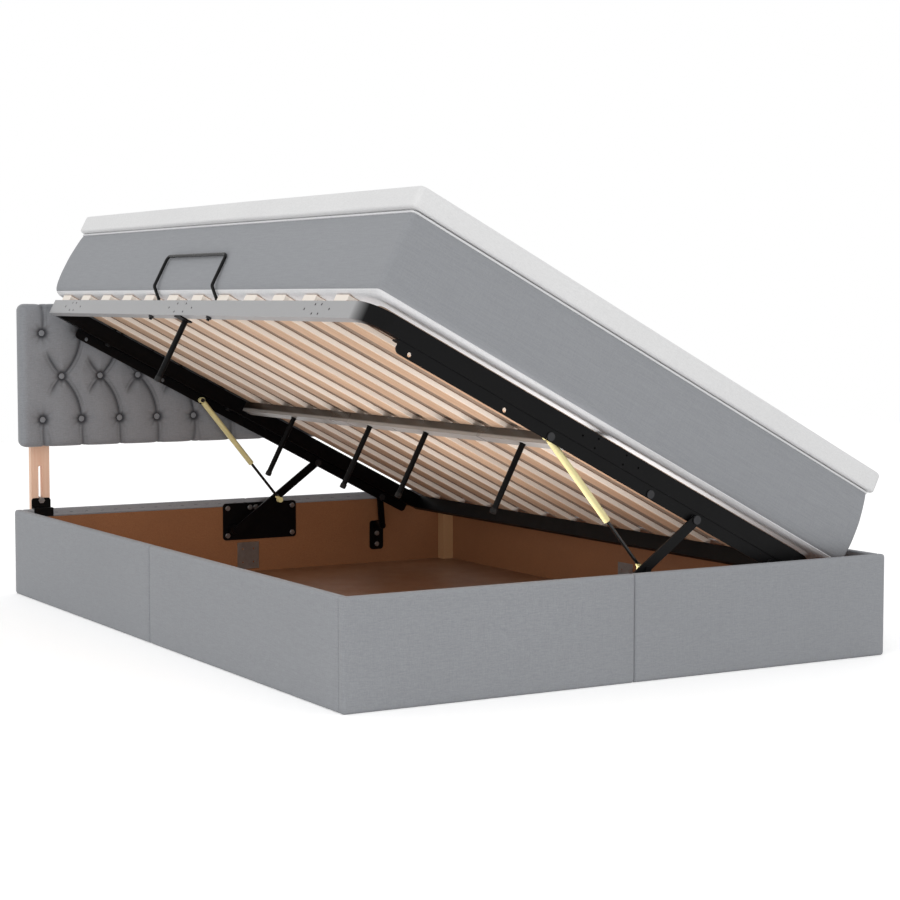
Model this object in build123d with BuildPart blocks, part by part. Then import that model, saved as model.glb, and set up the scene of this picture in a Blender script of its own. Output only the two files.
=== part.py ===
from build123d import *
import os
from math import cos, hypot, radians, sin

# Side-opening ottoman storage bed, in millimetres.
# Origin: on the floor, at the middle of the box. +X points to the hinge side, +Y to the headboard.
# The bed is modelled with its platform raised, resting on the open stop of the lift.

# Box
box_width = 1430.0
box_length = 2030.0
box_height = 238.5
panel_thick = 20.0
panel_round = 3.0
liner_thick = 3.0
liner_lift = 6.0
wrap_band = 22.0
fit_gap = 0.3
cut_over = 2.0

# Inside of the box
batten_width = 40.0
batten_high = 15.0
batten_spread = 450.0
floor_thick = 4.0
corner_post_side = 34.0
corner_post_drop = 38.5
corner_post_chamfer = 4.0
joining_plate_width = 70.0
joining_plate_under = 9.0
joining_plate_thick = 2.0
joining_plate_lift = 8.0
joining_hole_radius = 3.0

# Raised platform: where its hinge side stands in the box, and its tilt
hinge_in = 144.8
hinge_drop = 20.7
open_tilt = 27.5
closed_drop = 6.5
frame_side_gap = 50.0
frame_end_gap = 70.0
rail_high = 40.0
rail_thick = 20.0
rail_wall = 1.5
bend_radius = 65.0
bend_tail = 10.0

# Small holes in the rails
small_hole_radius = 2.5
hole_row_shares = (0.775, 0.5, 0.215)
side_group_shares = ((0.8243, 0.0597, 0.015), (0.0317, 0.0737, 0.028), (-0.7524, 0.0624, 0.0159))
foot_rail_group_shares = (0.509, 0.0624, 0.0316)

# Cross members and slats
middle_tube_width = 30.0
middle_tube_high = 28.0
slat_count = 12
slat_width = 60.0
slat_thick = 15.0
slat_head_gap = 80.0
slat_foot_gap = 144.6
slat_round = 3.0
slat_end_gap = 1.0

# Legs of the platform
leg_radius = 7.0
leg_floor_gap = 5.5
leg_outer_at = 606.0
leg_inner_at = 150.0
rail_leg_at = 26.0
rail_leg_y = 27.0
rail_plate_inset = 2.0
rail_plate_over = 10.0
rail_plate_half = 20.0
rail_plate_thick = 4.0
leg_cap_radius = 8.2
leg_cap_high = 12.0
leg_cap_wall = 2.5
leg_cap_round = 3.0

# Lift bars under the end rails
bar_start = 95.0
bar_hinge_gap = 40.0
bar_drop = 28.0
bar_flange = 30.0
bar_thick = 4.0
bar_inset = 2.0
bar_end_round = 12.0
spare_hole_shares = (0.0977, 0.2932)
stop_bolt_back = 512.0
bar_hole_radius = 5.5
bar_bolt_shares = (0.1429, 0.4586, 0.797)
bar_bolt_inset = 14.0
bar_bolt_radius = 4.0
bar_bolt_head_radius = 7.0
bar_bolt_head = 4.0
pin_drop = 58.0

# Front arms, rear links and their pivots on the box
arm_pivot_in = 768.8
arm_pivot_drop = 88.7
arm_top_back = 377.0
arm_width = 24.0
arm_thick = 5.0
arm_gap = 6.5
link_pivot_in = 279.4
link_pivot_drop = 101.0
link_top_back = 130.0
link_width = 20.0
pin_radius = 6.0
pin_clearance = 0.08
pin_head_radius = 10.0
pin_head = 3.0
base_plate_left = 28.0
base_plate_right = 212.0
base_plate_drop = 12.5
base_plate_high = 110.0
base_plate_thick = 4.0
base_plate_round = 10.0
base_boss_radius = 14.0
base_bolt_inset = 14.0
seen_bolt_shares = (0.3617, 0.4408)
base_bolt_radius = 4.0
base_bolt_head_radius = 7.5
base_bolt_head = 4.0
bracket_plate_width = 46.0
bracket_plate_under = 77.5
bracket_plate_over = 12.0
bracket_boss_radius = 11.0

# Gas struts
strut_top_back = 809.0
strut_reach = 169.0
strut_offset = 6.0
strut_gap = 2.5
strut_radius = 8.0
strut_wall = 1.5
strut_body_length = 248.0
strut_neck_radius = 4.5
strut_cap_length = 24.0
strut_guide_length = 16.0
strut_eye_radius = 8.5
strut_eye_thick = 14.0
strut_bolt_radius = 4.0
strut_bolt_head_radius = 9.5
strut_nut_radius = 6.0
rod_radius = 4.0
rod_clearance = 0.08
rod_end_radius = 8.0
rod_sleeve_radius = 5.5
rod_sleeve_start = 15.0
piston_length = 12.0
piston_clearance = 0.3
piston_start = 157.0
stud_radius = 5.0
stud_head_radius = 8.0

# Mattress retainer, which is also the lifting handle
wire_radius = 4.0
handle_middle = 26.3
handle_half = 178.0
handle_foot_at = 7.0
handle_foot_w = 4.0
handle_out = 20.5
handle_knee_w = 29.0
handle_top_w = 113.0
handle_corner = 14.0
handle_bend = 10.0
handle_under = 10.0
handle_nut_radius = 7.5
handle_nut = 5.0

# Mattress and topper
mattress_side_gap = 16.0
mattress_end_gap = 44.0
mattress_thick = 192.0
mattress_overhang = 14.0
mattress_corner = 10.0
mattress_bulge = 0.5
mattress_edge = 26.0
topper_side_over = 5.0
topper_end_over = 2.0
topper_thick = 55.0
topper_corner = 10.0
topper_bulge = 1.5
topper_edge = 7.0
topper_crown = 3.0
topper_crown_inset = 160.0

# Shares of height and of edge inset, from the bottom of each pad to its top
mattress_level_shares = (0.0, 0.05, 0.17, 0.45, 0.75, 0.91, 1.0)
mattress_inset_shares = (1.0, 0.3, 0.06, 0.0, 0.13, 0.23, 0.38)
topper_level_shares = (0.0, 0.07, 0.3, 0.7, 0.93, 1.0)
topper_inset_shares = (1.0, 0.28, 0.0, 0.0, 0.28, 1.0)
corner_share = 0.7071

# Headboard
headboard_side_gap = 15.0
headboard_bottom = 416.0
headboard_high = 405.0
backboard_thick = 15.0
backboard_inset = 10.0
pad_front_depth = 41.4
pad_front_round = 16.0
button_side = 64.75
button_row_pitch = 122.7
button_low_row = 77.0
button_counts = (12, 11, 12)
button_sink = 20.0
button_radius = 10.0
button_crown = 4.0
tuft_dip_shares = (
    (0.12, 0.4, 1.0, 0.4, 0.12),
    (0.15, 0.45, 0.15, 0.45, 0.15),
    (1.0, 0.4, 0.05, 0.4, 1.0),
    (0.15, 0.45, 0.15, 0.45, 0.15),
)
pleat_dip_shares = (0.0, 0.1, 0.45, 0.1)
pleat_at_share = 0.5
edge_shares = (0.0, 0.3, 1.0)
edge_dip_shares = (1.0, 0.3, 0.0)
post_inset = 80.0
post_width = 54.0
post_thick = 20.0
post_under = 45.0
post_top_gap = 41.0
slot_width = 12.0
slot_under = 66.0
slot_over = 99.0
hook_width = 56.0
hook_thick = 3.0
hook_up = 30.0
hook_down = 21.0
hook_round = 8.0
clamp_bolt_up = 23.5
panel_bolt_drop = 42.5
clamp_bolt_radius = 5.0
clamp_head_radius = 9.0
clamp_head = 5.0
clamp_nut_radius = 9.0
clamp_nut = 7.0

# Worked out from the sizes above
inner_x = box_width / 2 - panel_thick
inner_y = box_length / 2 - panel_thick
clear_x = inner_x - liner_thick
clear_y = inner_y - liner_thick
floor_top = batten_high + floor_thick
frame_width = box_width - 2 * frame_side_gap
frame_length = box_length - 2 * frame_end_gap
half_frame = frame_length / 2
mattress_width = box_width - 2 * mattress_side_gap
mattress_length = box_length - 2 * mattress_end_gap
topper_width = mattress_width + 2 * topper_side_over
topper_length = mattress_length + 2 * topper_end_over
headboard_width = box_width - 2 * headboard_side_gap
post_middle = box_width / 2 - post_inset
clamp_bolt_z = box_height + clamp_bolt_up
panel_bolt_z = box_height - panel_bolt_drop
slot_bottom = panel_bolt_z - slot_under
slot_top = clamp_bolt_z + slot_over
arm_pivot_x = box_width / 2 - arm_pivot_in
arm_pivot_z = box_height - arm_pivot_drop
arm_top_at = frame_width - arm_top_back
link_pivot_x = box_width / 2 - link_pivot_in
link_pivot_z = box_height - link_pivot_drop
link_top_at = frame_width - link_top_back
strut_top_at = frame_width - strut_top_back
bar_face = half_frame - bar_inset
bar_back = bar_face - bar_thick
arm_inner = bar_face + arm_gap
arm_outer = arm_inner + arm_thick
strut_y = bar_face - bar_thick - strut_gap - strut_radius
tilt = radians(open_tilt)
across = Vector(cos(tilt), 0, -sin(tilt))
upward = Vector(sin(tilt), 0, cos(tilt))
corner_x = box_width / 2 - hinge_in - frame_width * across.X
corner_z = box_height - hinge_drop - frame_width * across.Z
platform = Plane(origin=(corner_x, 0, corner_z), x_dir=across, z_dir=upward)

os.makedirs("parts", exist_ok=True)


def save(piece, name):
    piece.part.label = name
    export_step(piece.part, f"parts/{name}.step")


def platform_plane(u, y, w):
    """A plane parallel to the platform, with its origin at the platform's own point u, y, w."""
    return Plane(origin=platform.from_local_coords((u, y, w)), x_dir=across, z_dir=upward)


def platform_side(depth):
    """An upright plane along the platform that faces the foot end, depth from the bed's middle."""
    return Plane(origin=(corner_x, -depth, corner_z), x_dir=across, z_dir=(0, -1, 0))


def end_plane(depth):
    """An upright plane across the bed that faces the foot end, depth from the bed's middle."""
    return Plane.XZ.offset(depth)


def platform_to_world(u, w):
    """The x and z of a point given by the platform's own u and w."""
    spot = platform.from_local_coords((u, 0, w))
    return spot.X, spot.Z


def block(low, high, mode=Mode.ADD):
    """A box between two corners of the plane in use."""
    middle = [(a + b) / 2 for a, b in zip(low, high)]
    with Locations(tuple(middle)):
        Box(*[b - a for a, b in zip(low, high)], mode=mode)


def rod_between(plane, radius, length, mode=Mode.ADD):
    """A round bar that stands on a plane."""
    with BuildSketch(plane) as outline:
        Circle(radius)
    extrude(outline.sketch, amount=length, mode=mode)


# Upholstered panels: each side is two equal halves, and the foot panel covers the sides' ends
def make_panel(name, low, high):
    with BuildPart() as panel:
        block(low, high)
        fillet(panel.edges(), panel_round)
    save(panel, name)


side_start = -inner_y
side_middle = (side_start + box_length / 2) / 2
for side_name, side in (("left", -1), ("right", 1)):
    edges = sorted((side * inner_x, side * box_width / 2))
    make_panel(f"side_panel_{side_name}_foot", (edges[0], side_start, 0), (edges[1], side_middle, box_height))
    far_corner = (edges[1], box_length / 2, box_height)
    make_panel(f"side_panel_{side_name}_head", (edges[0], side_middle, 0), far_corner)
make_panel("foot_panel_left", (-box_width / 2, -box_length / 2, 0), (0, -inner_y, box_height))
make_panel("foot_panel_right", (0, -box_length / 2, 0), (box_width / 2, -inner_y, box_height))
for side_name, side in (("left", -1), ("right", 1)):
    edges = sorted((0, side * inner_x))
    with BuildPart() as head_panel:
        block((edges[0], inner_y, 0), (edges[1], box_length / 2, box_height))
        fillet(head_panel.edges(), panel_round)
        with BuildSketch(end_plane(-box_length / 2 - cut_over)):
            with Locations((side * post_middle, panel_bolt_z)):
                Circle(clamp_bolt_radius + fit_gap)
        extrude(amount=panel_thick + 2 * cut_over, mode=Mode.SUBTRACT)
    save(head_panel, f"head_panel_{side_name}")


# Hardboard liners, two boards to a side, below the band of fabric turned over the rim
liner_top = box_height - wrap_band
for side_name, side in (("left", -1), ("right", 1)):
    edges = sorted((side * clear_x, side * inner_x))
    with BuildPart() as liner:
        block((edges[0], -clear_y, liner_lift), (edges[1], side_middle - fit_gap / 2, liner_top))
        block((edges[0], side_middle + fit_gap / 2, liner_lift), (edges[1], clear_y, liner_top))
    save(liner, f"liner_{side_name}")
for end_name, end in (("foot", -1), ("head", 1)):
    edges = sorted((end * clear_y, end * inner_y))
    with BuildPart() as liner:
        block((-inner_x, edges[0], liner_lift), (-fit_gap / 2, edges[1], liner_top))
        block((fit_gap / 2, edges[0], liner_lift), (inner_x, edges[1], liner_top))
        if end > 0:
            with BuildSketch(end_plane(-inner_y - cut_over)):
                with Locations((-post_middle, panel_bolt_z), (post_middle, panel_bolt_z)):
                    Circle(clamp_bolt_radius + fit_gap)
            extrude(amount=liner_thick + 2 * cut_over, mode=Mode.SUBTRACT)
    save(liner, f"liner_{end_name}")


# Storage floor on three battens
with BuildPart() as floor_battens:
    for batten_x in (-batten_spread, 0, batten_spread):
        block(
            (batten_x - batten_width / 2, -clear_y + fit_gap, 0),
            (batten_x + batten_width / 2, clear_y - fit_gap, batten_high),
        )
save(floor_battens, "floor_battens")

with BuildPart() as floor_boards:
    for low_y, high_y in ((-clear_y + fit_gap, -fit_gap / 2), (fit_gap / 2, clear_y - fit_gap)):
        block((-clear_x + fit_gap, low_y, batten_high), (clear_x - fit_gap, high_y, floor_top))
save(floor_boards, "floor_boards")


# Wooden posts in the corners and steel plates over the seams hold the panels together
with BuildPart() as corner_posts:
    for side in (-1, 1):
        for end in (-1, 1):
            x_edges = sorted((side * clear_x, side * (clear_x - corner_post_side)))
            y_edges = sorted((end * clear_y, end * (clear_y - corner_post_side)))
            near_corner = (x_edges[0], y_edges[0], floor_top)
            block(near_corner, (x_edges[1], y_edges[1], box_height - corner_post_drop))
    chamfer(corner_posts.faces().group_by(Axis.Z)[-1].edges(), corner_post_chamfer)
save(corner_posts, "corner_posts")

base_plate_top = box_height - base_plate_drop
base_plate_bottom = base_plate_top - base_plate_high
plate_low = floor_top + joining_plate_lift
joining_plate_high = base_plate_bottom - joining_plate_under - plate_low
with BuildPart() as joining_plates:
    half = joining_plate_width / 2
    for side in (-1, 1):
        edges = sorted((side * clear_x, side * (clear_x - joining_plate_thick)))
        block(
            (edges[0], side_middle - half, plate_low),
            (edges[1], side_middle + half, plate_low + joining_plate_high),
        )
        edges = sorted((side * clear_y, side * (clear_y - joining_plate_thick)))
        block((-half, edges[0], plate_low), (half, edges[1], plate_low + joining_plate_high))
    hole_x = joining_plate_width / 4
    hole_z = plate_low + joining_plate_high / 4
    for across_at in (-hole_x, hole_x):
        for up_at in (hole_z, hole_z + joining_plate_high / 2):
            with Locations((0, side_middle + across_at, up_at)):
                Cylinder(joining_hole_radius, box_width, rotation=(0, 90, 0), mode=Mode.SUBTRACT)
            with Locations((across_at, 0, up_at)):
                Cylinder(joining_hole_radius, box_length, rotation=(90, 0, 0), mode=Mode.SUBTRACT)
save(joining_plates, "joining_plates")


# Base plates of the front arms, with the boss and pin that each arm turns on
boss_end = arm_outer + fit_gap
plate_face = clear_y - base_plate_thick


bracket_plate_bottom = link_pivot_z - bracket_plate_under


def base_plate_spots():
    """Where the six bolts of a front base plate stand."""
    left = arm_pivot_x - base_plate_left + base_bolt_inset
    right = arm_pivot_x + base_plate_right - base_bolt_inset
    corners = [
        (x, z)
        for x in (left, right)
        for z in (base_plate_bottom + base_bolt_inset, base_plate_top - base_bolt_inset)
    ]
    start = arm_pivot_x - base_plate_left
    width = base_plate_left + base_plate_right
    seen = [(start + share * width, base_plate_top - base_bolt_inset) for share in seen_bolt_shares]
    return corners + seen


def bracket_spots():
    """Where the two bolts of a rear bracket stand."""
    middle = (bracket_plate_bottom + link_pivot_z - bracket_boss_radius) / 2
    reach = (link_pivot_z - bracket_boss_radius - bracket_plate_bottom) / 4
    return [(link_pivot_x, middle - reach), (link_pivot_x, middle + reach)]


def add_pivot(x, z, boss_radius):
    """The boss, pin and pin head that stand out of a base plate."""
    origin = (x, -plate_face, z)
    boss_length = plate_face - boss_end
    rod_between(Plane(origin=origin, z_dir=(0, 1, 0)), boss_radius, boss_length)
    pin_length = boss_length + arm_thick + 2 * fit_gap
    rod_between(Plane(origin=origin, z_dir=(0, 1, 0)), pin_radius, pin_length + pin_head)
    rod_between(Plane(origin=(x, -plate_face + pin_length, z), z_dir=(0, 1, 0)), pin_head_radius, pin_head)


with BuildPart() as base_plate_foot:
    plate_mid_x = arm_pivot_x + (base_plate_right - base_plate_left) / 2
    with BuildSketch(end_plane(plate_face)):
        with Locations((plate_mid_x, base_plate_bottom + base_plate_high / 2)):
            RectangleRounded(base_plate_left + base_plate_right, base_plate_high, base_plate_round)
        with Locations(*base_plate_spots()):
            Circle(base_bolt_radius + fit_gap, mode=Mode.SUBTRACT)
    extrude(amount=base_plate_thick)
    add_pivot(arm_pivot_x, arm_pivot_z, base_boss_radius)
save(base_plate_foot, "base_plate_foot")

with BuildPart() as base_plate_head:
    mirror(base_plate_foot.part, about=Plane.XZ)
save(base_plate_head, "base_plate_head")

with BuildPart() as rear_bracket:
    bracket_high = link_pivot_z + bracket_plate_over - bracket_plate_bottom
    with BuildSketch(end_plane(plate_face)):
        with Locations((link_pivot_x, bracket_plate_bottom + bracket_high / 2)):
            RectangleRounded(bracket_plate_width, bracket_high, base_plate_round)
        with Locations(*bracket_spots()):
            Circle(base_bolt_radius + fit_gap, mode=Mode.SUBTRACT)
    extrude(amount=base_plate_thick)
    add_pivot(link_pivot_x, link_pivot_z, bracket_boss_radius)
with BuildPart() as rear_brackets:
    add(rear_bracket.part)
    mirror(rear_bracket.part, about=Plane.XZ)
save(rear_brackets, "rear_brackets")

with BuildPart() as base_bolts:
    with BuildSketch(end_plane(plate_face - base_bolt_head)):
        with Locations(*base_plate_spots(), *bracket_spots()):
            Circle(base_bolt_head_radius)
    extrude(amount=base_bolt_head)
    chamfer(base_bolts.edges().group_by(Axis.Y)[-1], base_bolt_head / 4)
    with BuildSketch(end_plane(plate_face)):
        with Locations(*base_plate_spots(), *bracket_spots()):
            Circle(base_bolt_radius)
    extrude(amount=base_plate_thick)
    mirror(about=Plane.XZ)
save(base_bolts, "base_bolts")


# Front arms: flat bars that turn on the base plates and carry the platform
arm_top_x, arm_top_z = platform_to_world(arm_top_at, -pin_drop)
arm_length = hypot(arm_top_x - arm_pivot_x, arm_top_z - arm_pivot_z)
arm_along = Vector((arm_top_x - arm_pivot_x) / arm_length, 0, (arm_top_z - arm_pivot_z) / arm_length)
arm_below = Vector(arm_along.Z, 0, -arm_along.X)
stud_along = arm_length - strut_reach
stud_x = arm_pivot_x + stud_along * arm_along.X + strut_offset * arm_below.X
stud_z = arm_pivot_z + stud_along * arm_along.Z + strut_offset * arm_below.Z
stud_end = strut_y + strut_eye_thick / 2 + fit_gap

with BuildPart() as front_arm_foot:
    arm_mid = ((arm_pivot_x + arm_top_x) / 2, -arm_inner, (arm_pivot_z + arm_top_z) / 2)
    with BuildSketch(Plane(origin=arm_mid, x_dir=arm_along, z_dir=(0, -1, 0))):
        SlotCenterToCenter(arm_length, arm_width)
        with Locations((-arm_length / 2, 0), (arm_length / 2, 0)):
            Circle(pin_radius + pin_clearance, mode=Mode.SUBTRACT)
    extrude(amount=arm_thick)
    rod_between(
        Plane(origin=(stud_x, -arm_outer, stud_z), z_dir=(0, 1, 0)),
        stud_radius,
        arm_outer - stud_end,
    )
    rod_between(Plane(origin=(stud_x, -arm_outer, stud_z), z_dir=(0, -1, 0)), stud_head_radius, pin_head)
save(front_arm_foot, "front_arm_foot")

with BuildPart() as front_arm_head:
    mirror(front_arm_foot.part, about=Plane.XZ)
save(front_arm_head, "front_arm_head")


# Rear links: short bars whose upper pivots lie against the lift bars
link_top_x, link_top_z = platform_to_world(link_top_at, -pin_drop)
strut_top_x, strut_top_z = platform_to_world(strut_top_at, -pin_drop)
link_length = hypot(link_top_x - link_pivot_x, link_top_z - link_pivot_z)
link_along = Vector((link_top_x - link_pivot_x) / link_length, 0, (link_top_z - link_pivot_z) / link_length)
with BuildPart() as rear_link_foot:
    link_mid = ((link_pivot_x + link_top_x) / 2, -arm_inner, (link_pivot_z + link_top_z) / 2)
    with BuildSketch(Plane(origin=link_mid, x_dir=link_along, z_dir=(0, -1, 0))):
        SlotCenterToCenter(link_length, link_width)
        with Locations((-link_length / 2, 0)):
            Circle(pin_radius + pin_clearance, mode=Mode.SUBTRACT)
    extrude(amount=arm_thick)
    rod_between(
        Plane(origin=(link_top_x, -arm_outer, link_top_z), z_dir=(0, -1, 0)),
        pin_head_radius,
        pin_head,
    )
save(rear_link_foot, "rear_link_foot")

with BuildPart() as rear_link_head:
    mirror(rear_link_foot.part, about=Plane.XZ)
save(rear_link_head, "rear_link_head")


# Rails: a tube bent round the two foot corners, and a head rail between its ends
joint_at = bend_radius + bend_tail


def bent_tube(inset, mode=Mode.ADD):
    """A side rail, its bend at the foot corner and a stub of the foot rail, drawn in by inset."""
    far = rail_thick - inset
    with BuildSketch(platform_plane(0, 0, -rail_high + inset)) as outline:
        with BuildLine():
            outer = FilletPolyline(
                (inset, half_frame - inset),
                (inset, -half_frame + inset),
                (joint_at, -half_frame + inset),
                radius=bend_radius - inset,
            )
            inner = FilletPolyline(
                (far, half_frame - inset),
                (far, -half_frame + far),
                (joint_at, -half_frame + far),
                radius=bend_radius - far,
            )
            Line(outer @ 0, inner @ 0)
            Line(outer @ 1, inner @ 1)
        make_face()
    extrude(outline.sketch, amount=rail_high - 2 * inset, mode=mode)


def six_holes(centre, reach, pair):
    """Six small holes in a rail: two in the middle row, two above and two below."""
    low, middle, high = [share * rail_high for share in hole_row_shares]
    return [
        (centre - reach, -middle),
        (centre + reach, -middle),
        (centre - pair, -high),
        (centre + pair, -high),
        (centre - pair, -low),
        (centre + pair, -low),
    ]


handle_feet = (handle_middle - handle_half, handle_middle + handle_half)

with BuildPart() as raised_rail:
    bent_tube(0)
    bent_tube(rail_wall, mode=Mode.SUBTRACT)
    side_face = Plane(origin=(corner_x, 0, corner_z), x_dir=(0, -1, 0), z_dir=-across)
    with BuildSketch(side_face):
        for shares in side_group_shares:
            centre, reach, pair = [share * half_frame for share in shares]
            with Locations(*six_holes(-centre, reach, pair)):
                Circle(small_hole_radius)
    extrude(amount=-rail_wall - cut_over, mode=Mode.SUBTRACT)
    with BuildSketch(platform_plane(0, 0, -rail_high - cut_over)):
        with Locations(*[(handle_foot_at, y) for y in handle_feet]):
            Circle(wire_radius + fit_gap)
    extrude(amount=rail_high + 2 * cut_over, mode=Mode.SUBTRACT)
save(raised_rail, "raised_rail")

with BuildPart() as hinge_rail_shape:
    bent_tube(0)
    bent_tube(rail_wall, mode=Mode.SUBTRACT)
with BuildPart() as hinge_rail:
    half_way = platform.from_local_coords((frame_width / 2, 0, 0))
    mirror(hinge_rail_shape.part, about=Plane(origin=half_way, z_dir=across))
save(hinge_rail, "hinge_rail")


def bar_bolt_holes(y_middle):
    """Holes in the underside of an end rail, for the bolts of its lift bar."""
    with BuildSketch(platform_plane(0, 0, -rail_high - cut_over)) as holes:
        with Locations(*[(u, y_middle) for u in bar_bolt_stations]):
            Circle(bar_bolt_radius + fit_gap)
    extrude(holes.sketch, amount=rail_wall + 2 * cut_over, mode=Mode.SUBTRACT)


rail_bolt_y = half_frame - bar_bolt_inset
bar_bolt_stations = [share * frame_width for share in bar_bolt_shares]
with BuildPart(platform) as foot_rail:
    block((joint_at, -half_frame, -rail_high), (frame_width - joint_at, -half_frame + rail_thick, 0))
    block(
        (joint_at - cut_over, -half_frame + rail_wall, -rail_high + rail_wall),
        (frame_width - joint_at + cut_over, -half_frame + rail_thick - rail_wall, -rail_wall),
        mode=Mode.SUBTRACT,
    )
    with BuildSketch(platform_side(half_frame)):
        with Locations(*six_holes(*[share * frame_width for share in foot_rail_group_shares])):
            Circle(small_hole_radius)
    extrude(amount=-rail_wall - cut_over, mode=Mode.SUBTRACT)
    bar_bolt_holes(-rail_bolt_y)
save(foot_rail, "foot_rail")

with BuildPart(platform) as head_rail:
    block((rail_thick, half_frame - rail_thick, -rail_high), (frame_width - rail_thick, half_frame, 0))
    block(
        (rail_thick - cut_over, half_frame - rail_thick + rail_wall, -rail_high + rail_wall),
        (frame_width - rail_thick + cut_over, half_frame - rail_wall, -rail_wall),
        mode=Mode.SUBTRACT,
    )
    bar_bolt_holes(rail_bolt_y)
save(head_rail, "head_rail")


# Middle tube and slats
middle_tube_at = frame_width / 2
tube_left = middle_tube_at - middle_tube_width / 2
tube_right = middle_tube_at + middle_tube_width / 2
with BuildPart(platform) as middle_tube:
    tube_end = half_frame - rail_thick
    block((tube_left, -tube_end, -middle_tube_high), (tube_right, tube_end, 0))
    block(
        (tube_left + rail_wall, -tube_end - cut_over, -middle_tube_high + rail_wall),
        (tube_right - rail_wall, tube_end + cut_over, -rail_wall),
        mode=Mode.SUBTRACT,
    )
save(middle_tube, "middle_tube")

slat_pitch = (frame_length - slat_head_gap - slat_foot_gap) / (slat_count - 1)
for index in range(slat_count):
    slat_y = half_frame - slat_head_gap - index * slat_pitch
    with BuildPart(platform) as slat:
        block(
            (slat_end_gap, slat_y - slat_width / 2, 0),
            (frame_width - slat_end_gap, slat_y + slat_width / 2, slat_thick),
        )
        fillet(slat.edges().filter_by(lambda edge: edge.length > slat_width * 2), slat_round)
    save(slat, f"slat_{index + 1:02d}")


# Round legs: four under the middle tube and one on a small plate under the raised rail
leg_bottom = box_height - closed_drop - floor_top - leg_floor_gap
leg_tops = [
    (middle_tube_at, leg_outer_at, middle_tube_high),
    (middle_tube_at, leg_inner_at, middle_tube_high),
    (middle_tube_at, -leg_inner_at, middle_tube_high),
    (middle_tube_at, -leg_outer_at, middle_tube_high),
    (rail_leg_at, rail_leg_y, rail_high + rail_plate_thick),
]
with BuildPart() as support_legs:
    for leg_u, leg_y, leg_top in leg_tops:
        leg_foot = leg_bottom - leg_cap_wall - fit_gap
        rod_between(platform_plane(leg_u, leg_y, -leg_foot), leg_radius, leg_foot - leg_top)
    plate_spot = (rail_leg_at + rail_plate_over + rail_plate_inset) / 2
    with BuildSketch(platform_plane(plate_spot, rail_leg_y, -rail_high)):
        Rectangle(rail_leg_at + rail_plate_over - rail_plate_inset, 2 * rail_plate_half)
    extrude(amount=-rail_plate_thick)
save(support_legs, "support_legs")

with BuildPart() as leg_caps:
    for leg_u, leg_y, leg_top in leg_tops:
        rod_between(platform_plane(leg_u, leg_y, -leg_bottom), leg_cap_radius, leg_cap_high)
    foot_level = fit_gap - leg_bottom
    foot_edges = leg_caps.edges().filter_by(
        lambda edge: platform.to_local_coords(edge.center()).Z < foot_level
    )
    fillet(foot_edges, leg_cap_round)
    for leg_u, leg_y, leg_top in leg_tops:
        socket = platform_plane(leg_u, leg_y, leg_cap_wall - leg_bottom)
        rod_between(socket, leg_radius + fit_gap, leg_cap_high, mode=Mode.SUBTRACT)
save(leg_caps, "leg_caps")


# Lift bars: steel angles under the end rails, with the pivot holes in their upright legs
pivot_stations = (arm_top_at, link_top_at)
stop_bolt_at = frame_width - stop_bolt_back
bar_end = frame_width - bar_hinge_gap
with BuildPart() as lift_bar_foot:
    bar_low = -rail_high - bar_drop
    with BuildSketch(platform_side(bar_face - bar_thick)):
        with Locations(((bar_start + bar_end) / 2, (bar_low - rail_high) / 2)):
            leg_shape = Rectangle(bar_end - bar_start, bar_drop)
        fillet(leg_shape.vertices().group_by(Axis.Y)[0], bar_end_round)
        with Locations(*[(share * frame_width, -pin_drop) for share in spare_hole_shares]):
            Circle(bar_hole_radius, mode=Mode.SUBTRACT)
        with Locations(*[(u, -pin_drop) for u in pivot_stations]):
            Circle(pin_radius + fit_gap, mode=Mode.SUBTRACT)
        with Locations((strut_top_at, -pin_drop), (stop_bolt_at, -pin_drop)):
            Circle(strut_bolt_radius + fit_gap, mode=Mode.SUBTRACT)
    extrude(amount=bar_thick)
    with BuildSketch(platform_plane(0, 0, -rail_high - bar_thick)):
        with Locations(((bar_start + bar_end) / 2, -bar_face + bar_flange / 2)):
            Rectangle(bar_end - bar_start, bar_flange)
        with Locations(*[(u, -rail_bolt_y) for u in bar_bolt_stations]):
            Circle(bar_bolt_radius + fit_gap, mode=Mode.SUBTRACT)
    extrude(amount=bar_thick)
save(lift_bar_foot, "lift_bar_foot")

with BuildPart() as lift_bar_head:
    mirror(lift_bar_foot.part, about=Plane.XZ)
save(lift_bar_head, "lift_bar_head")


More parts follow.
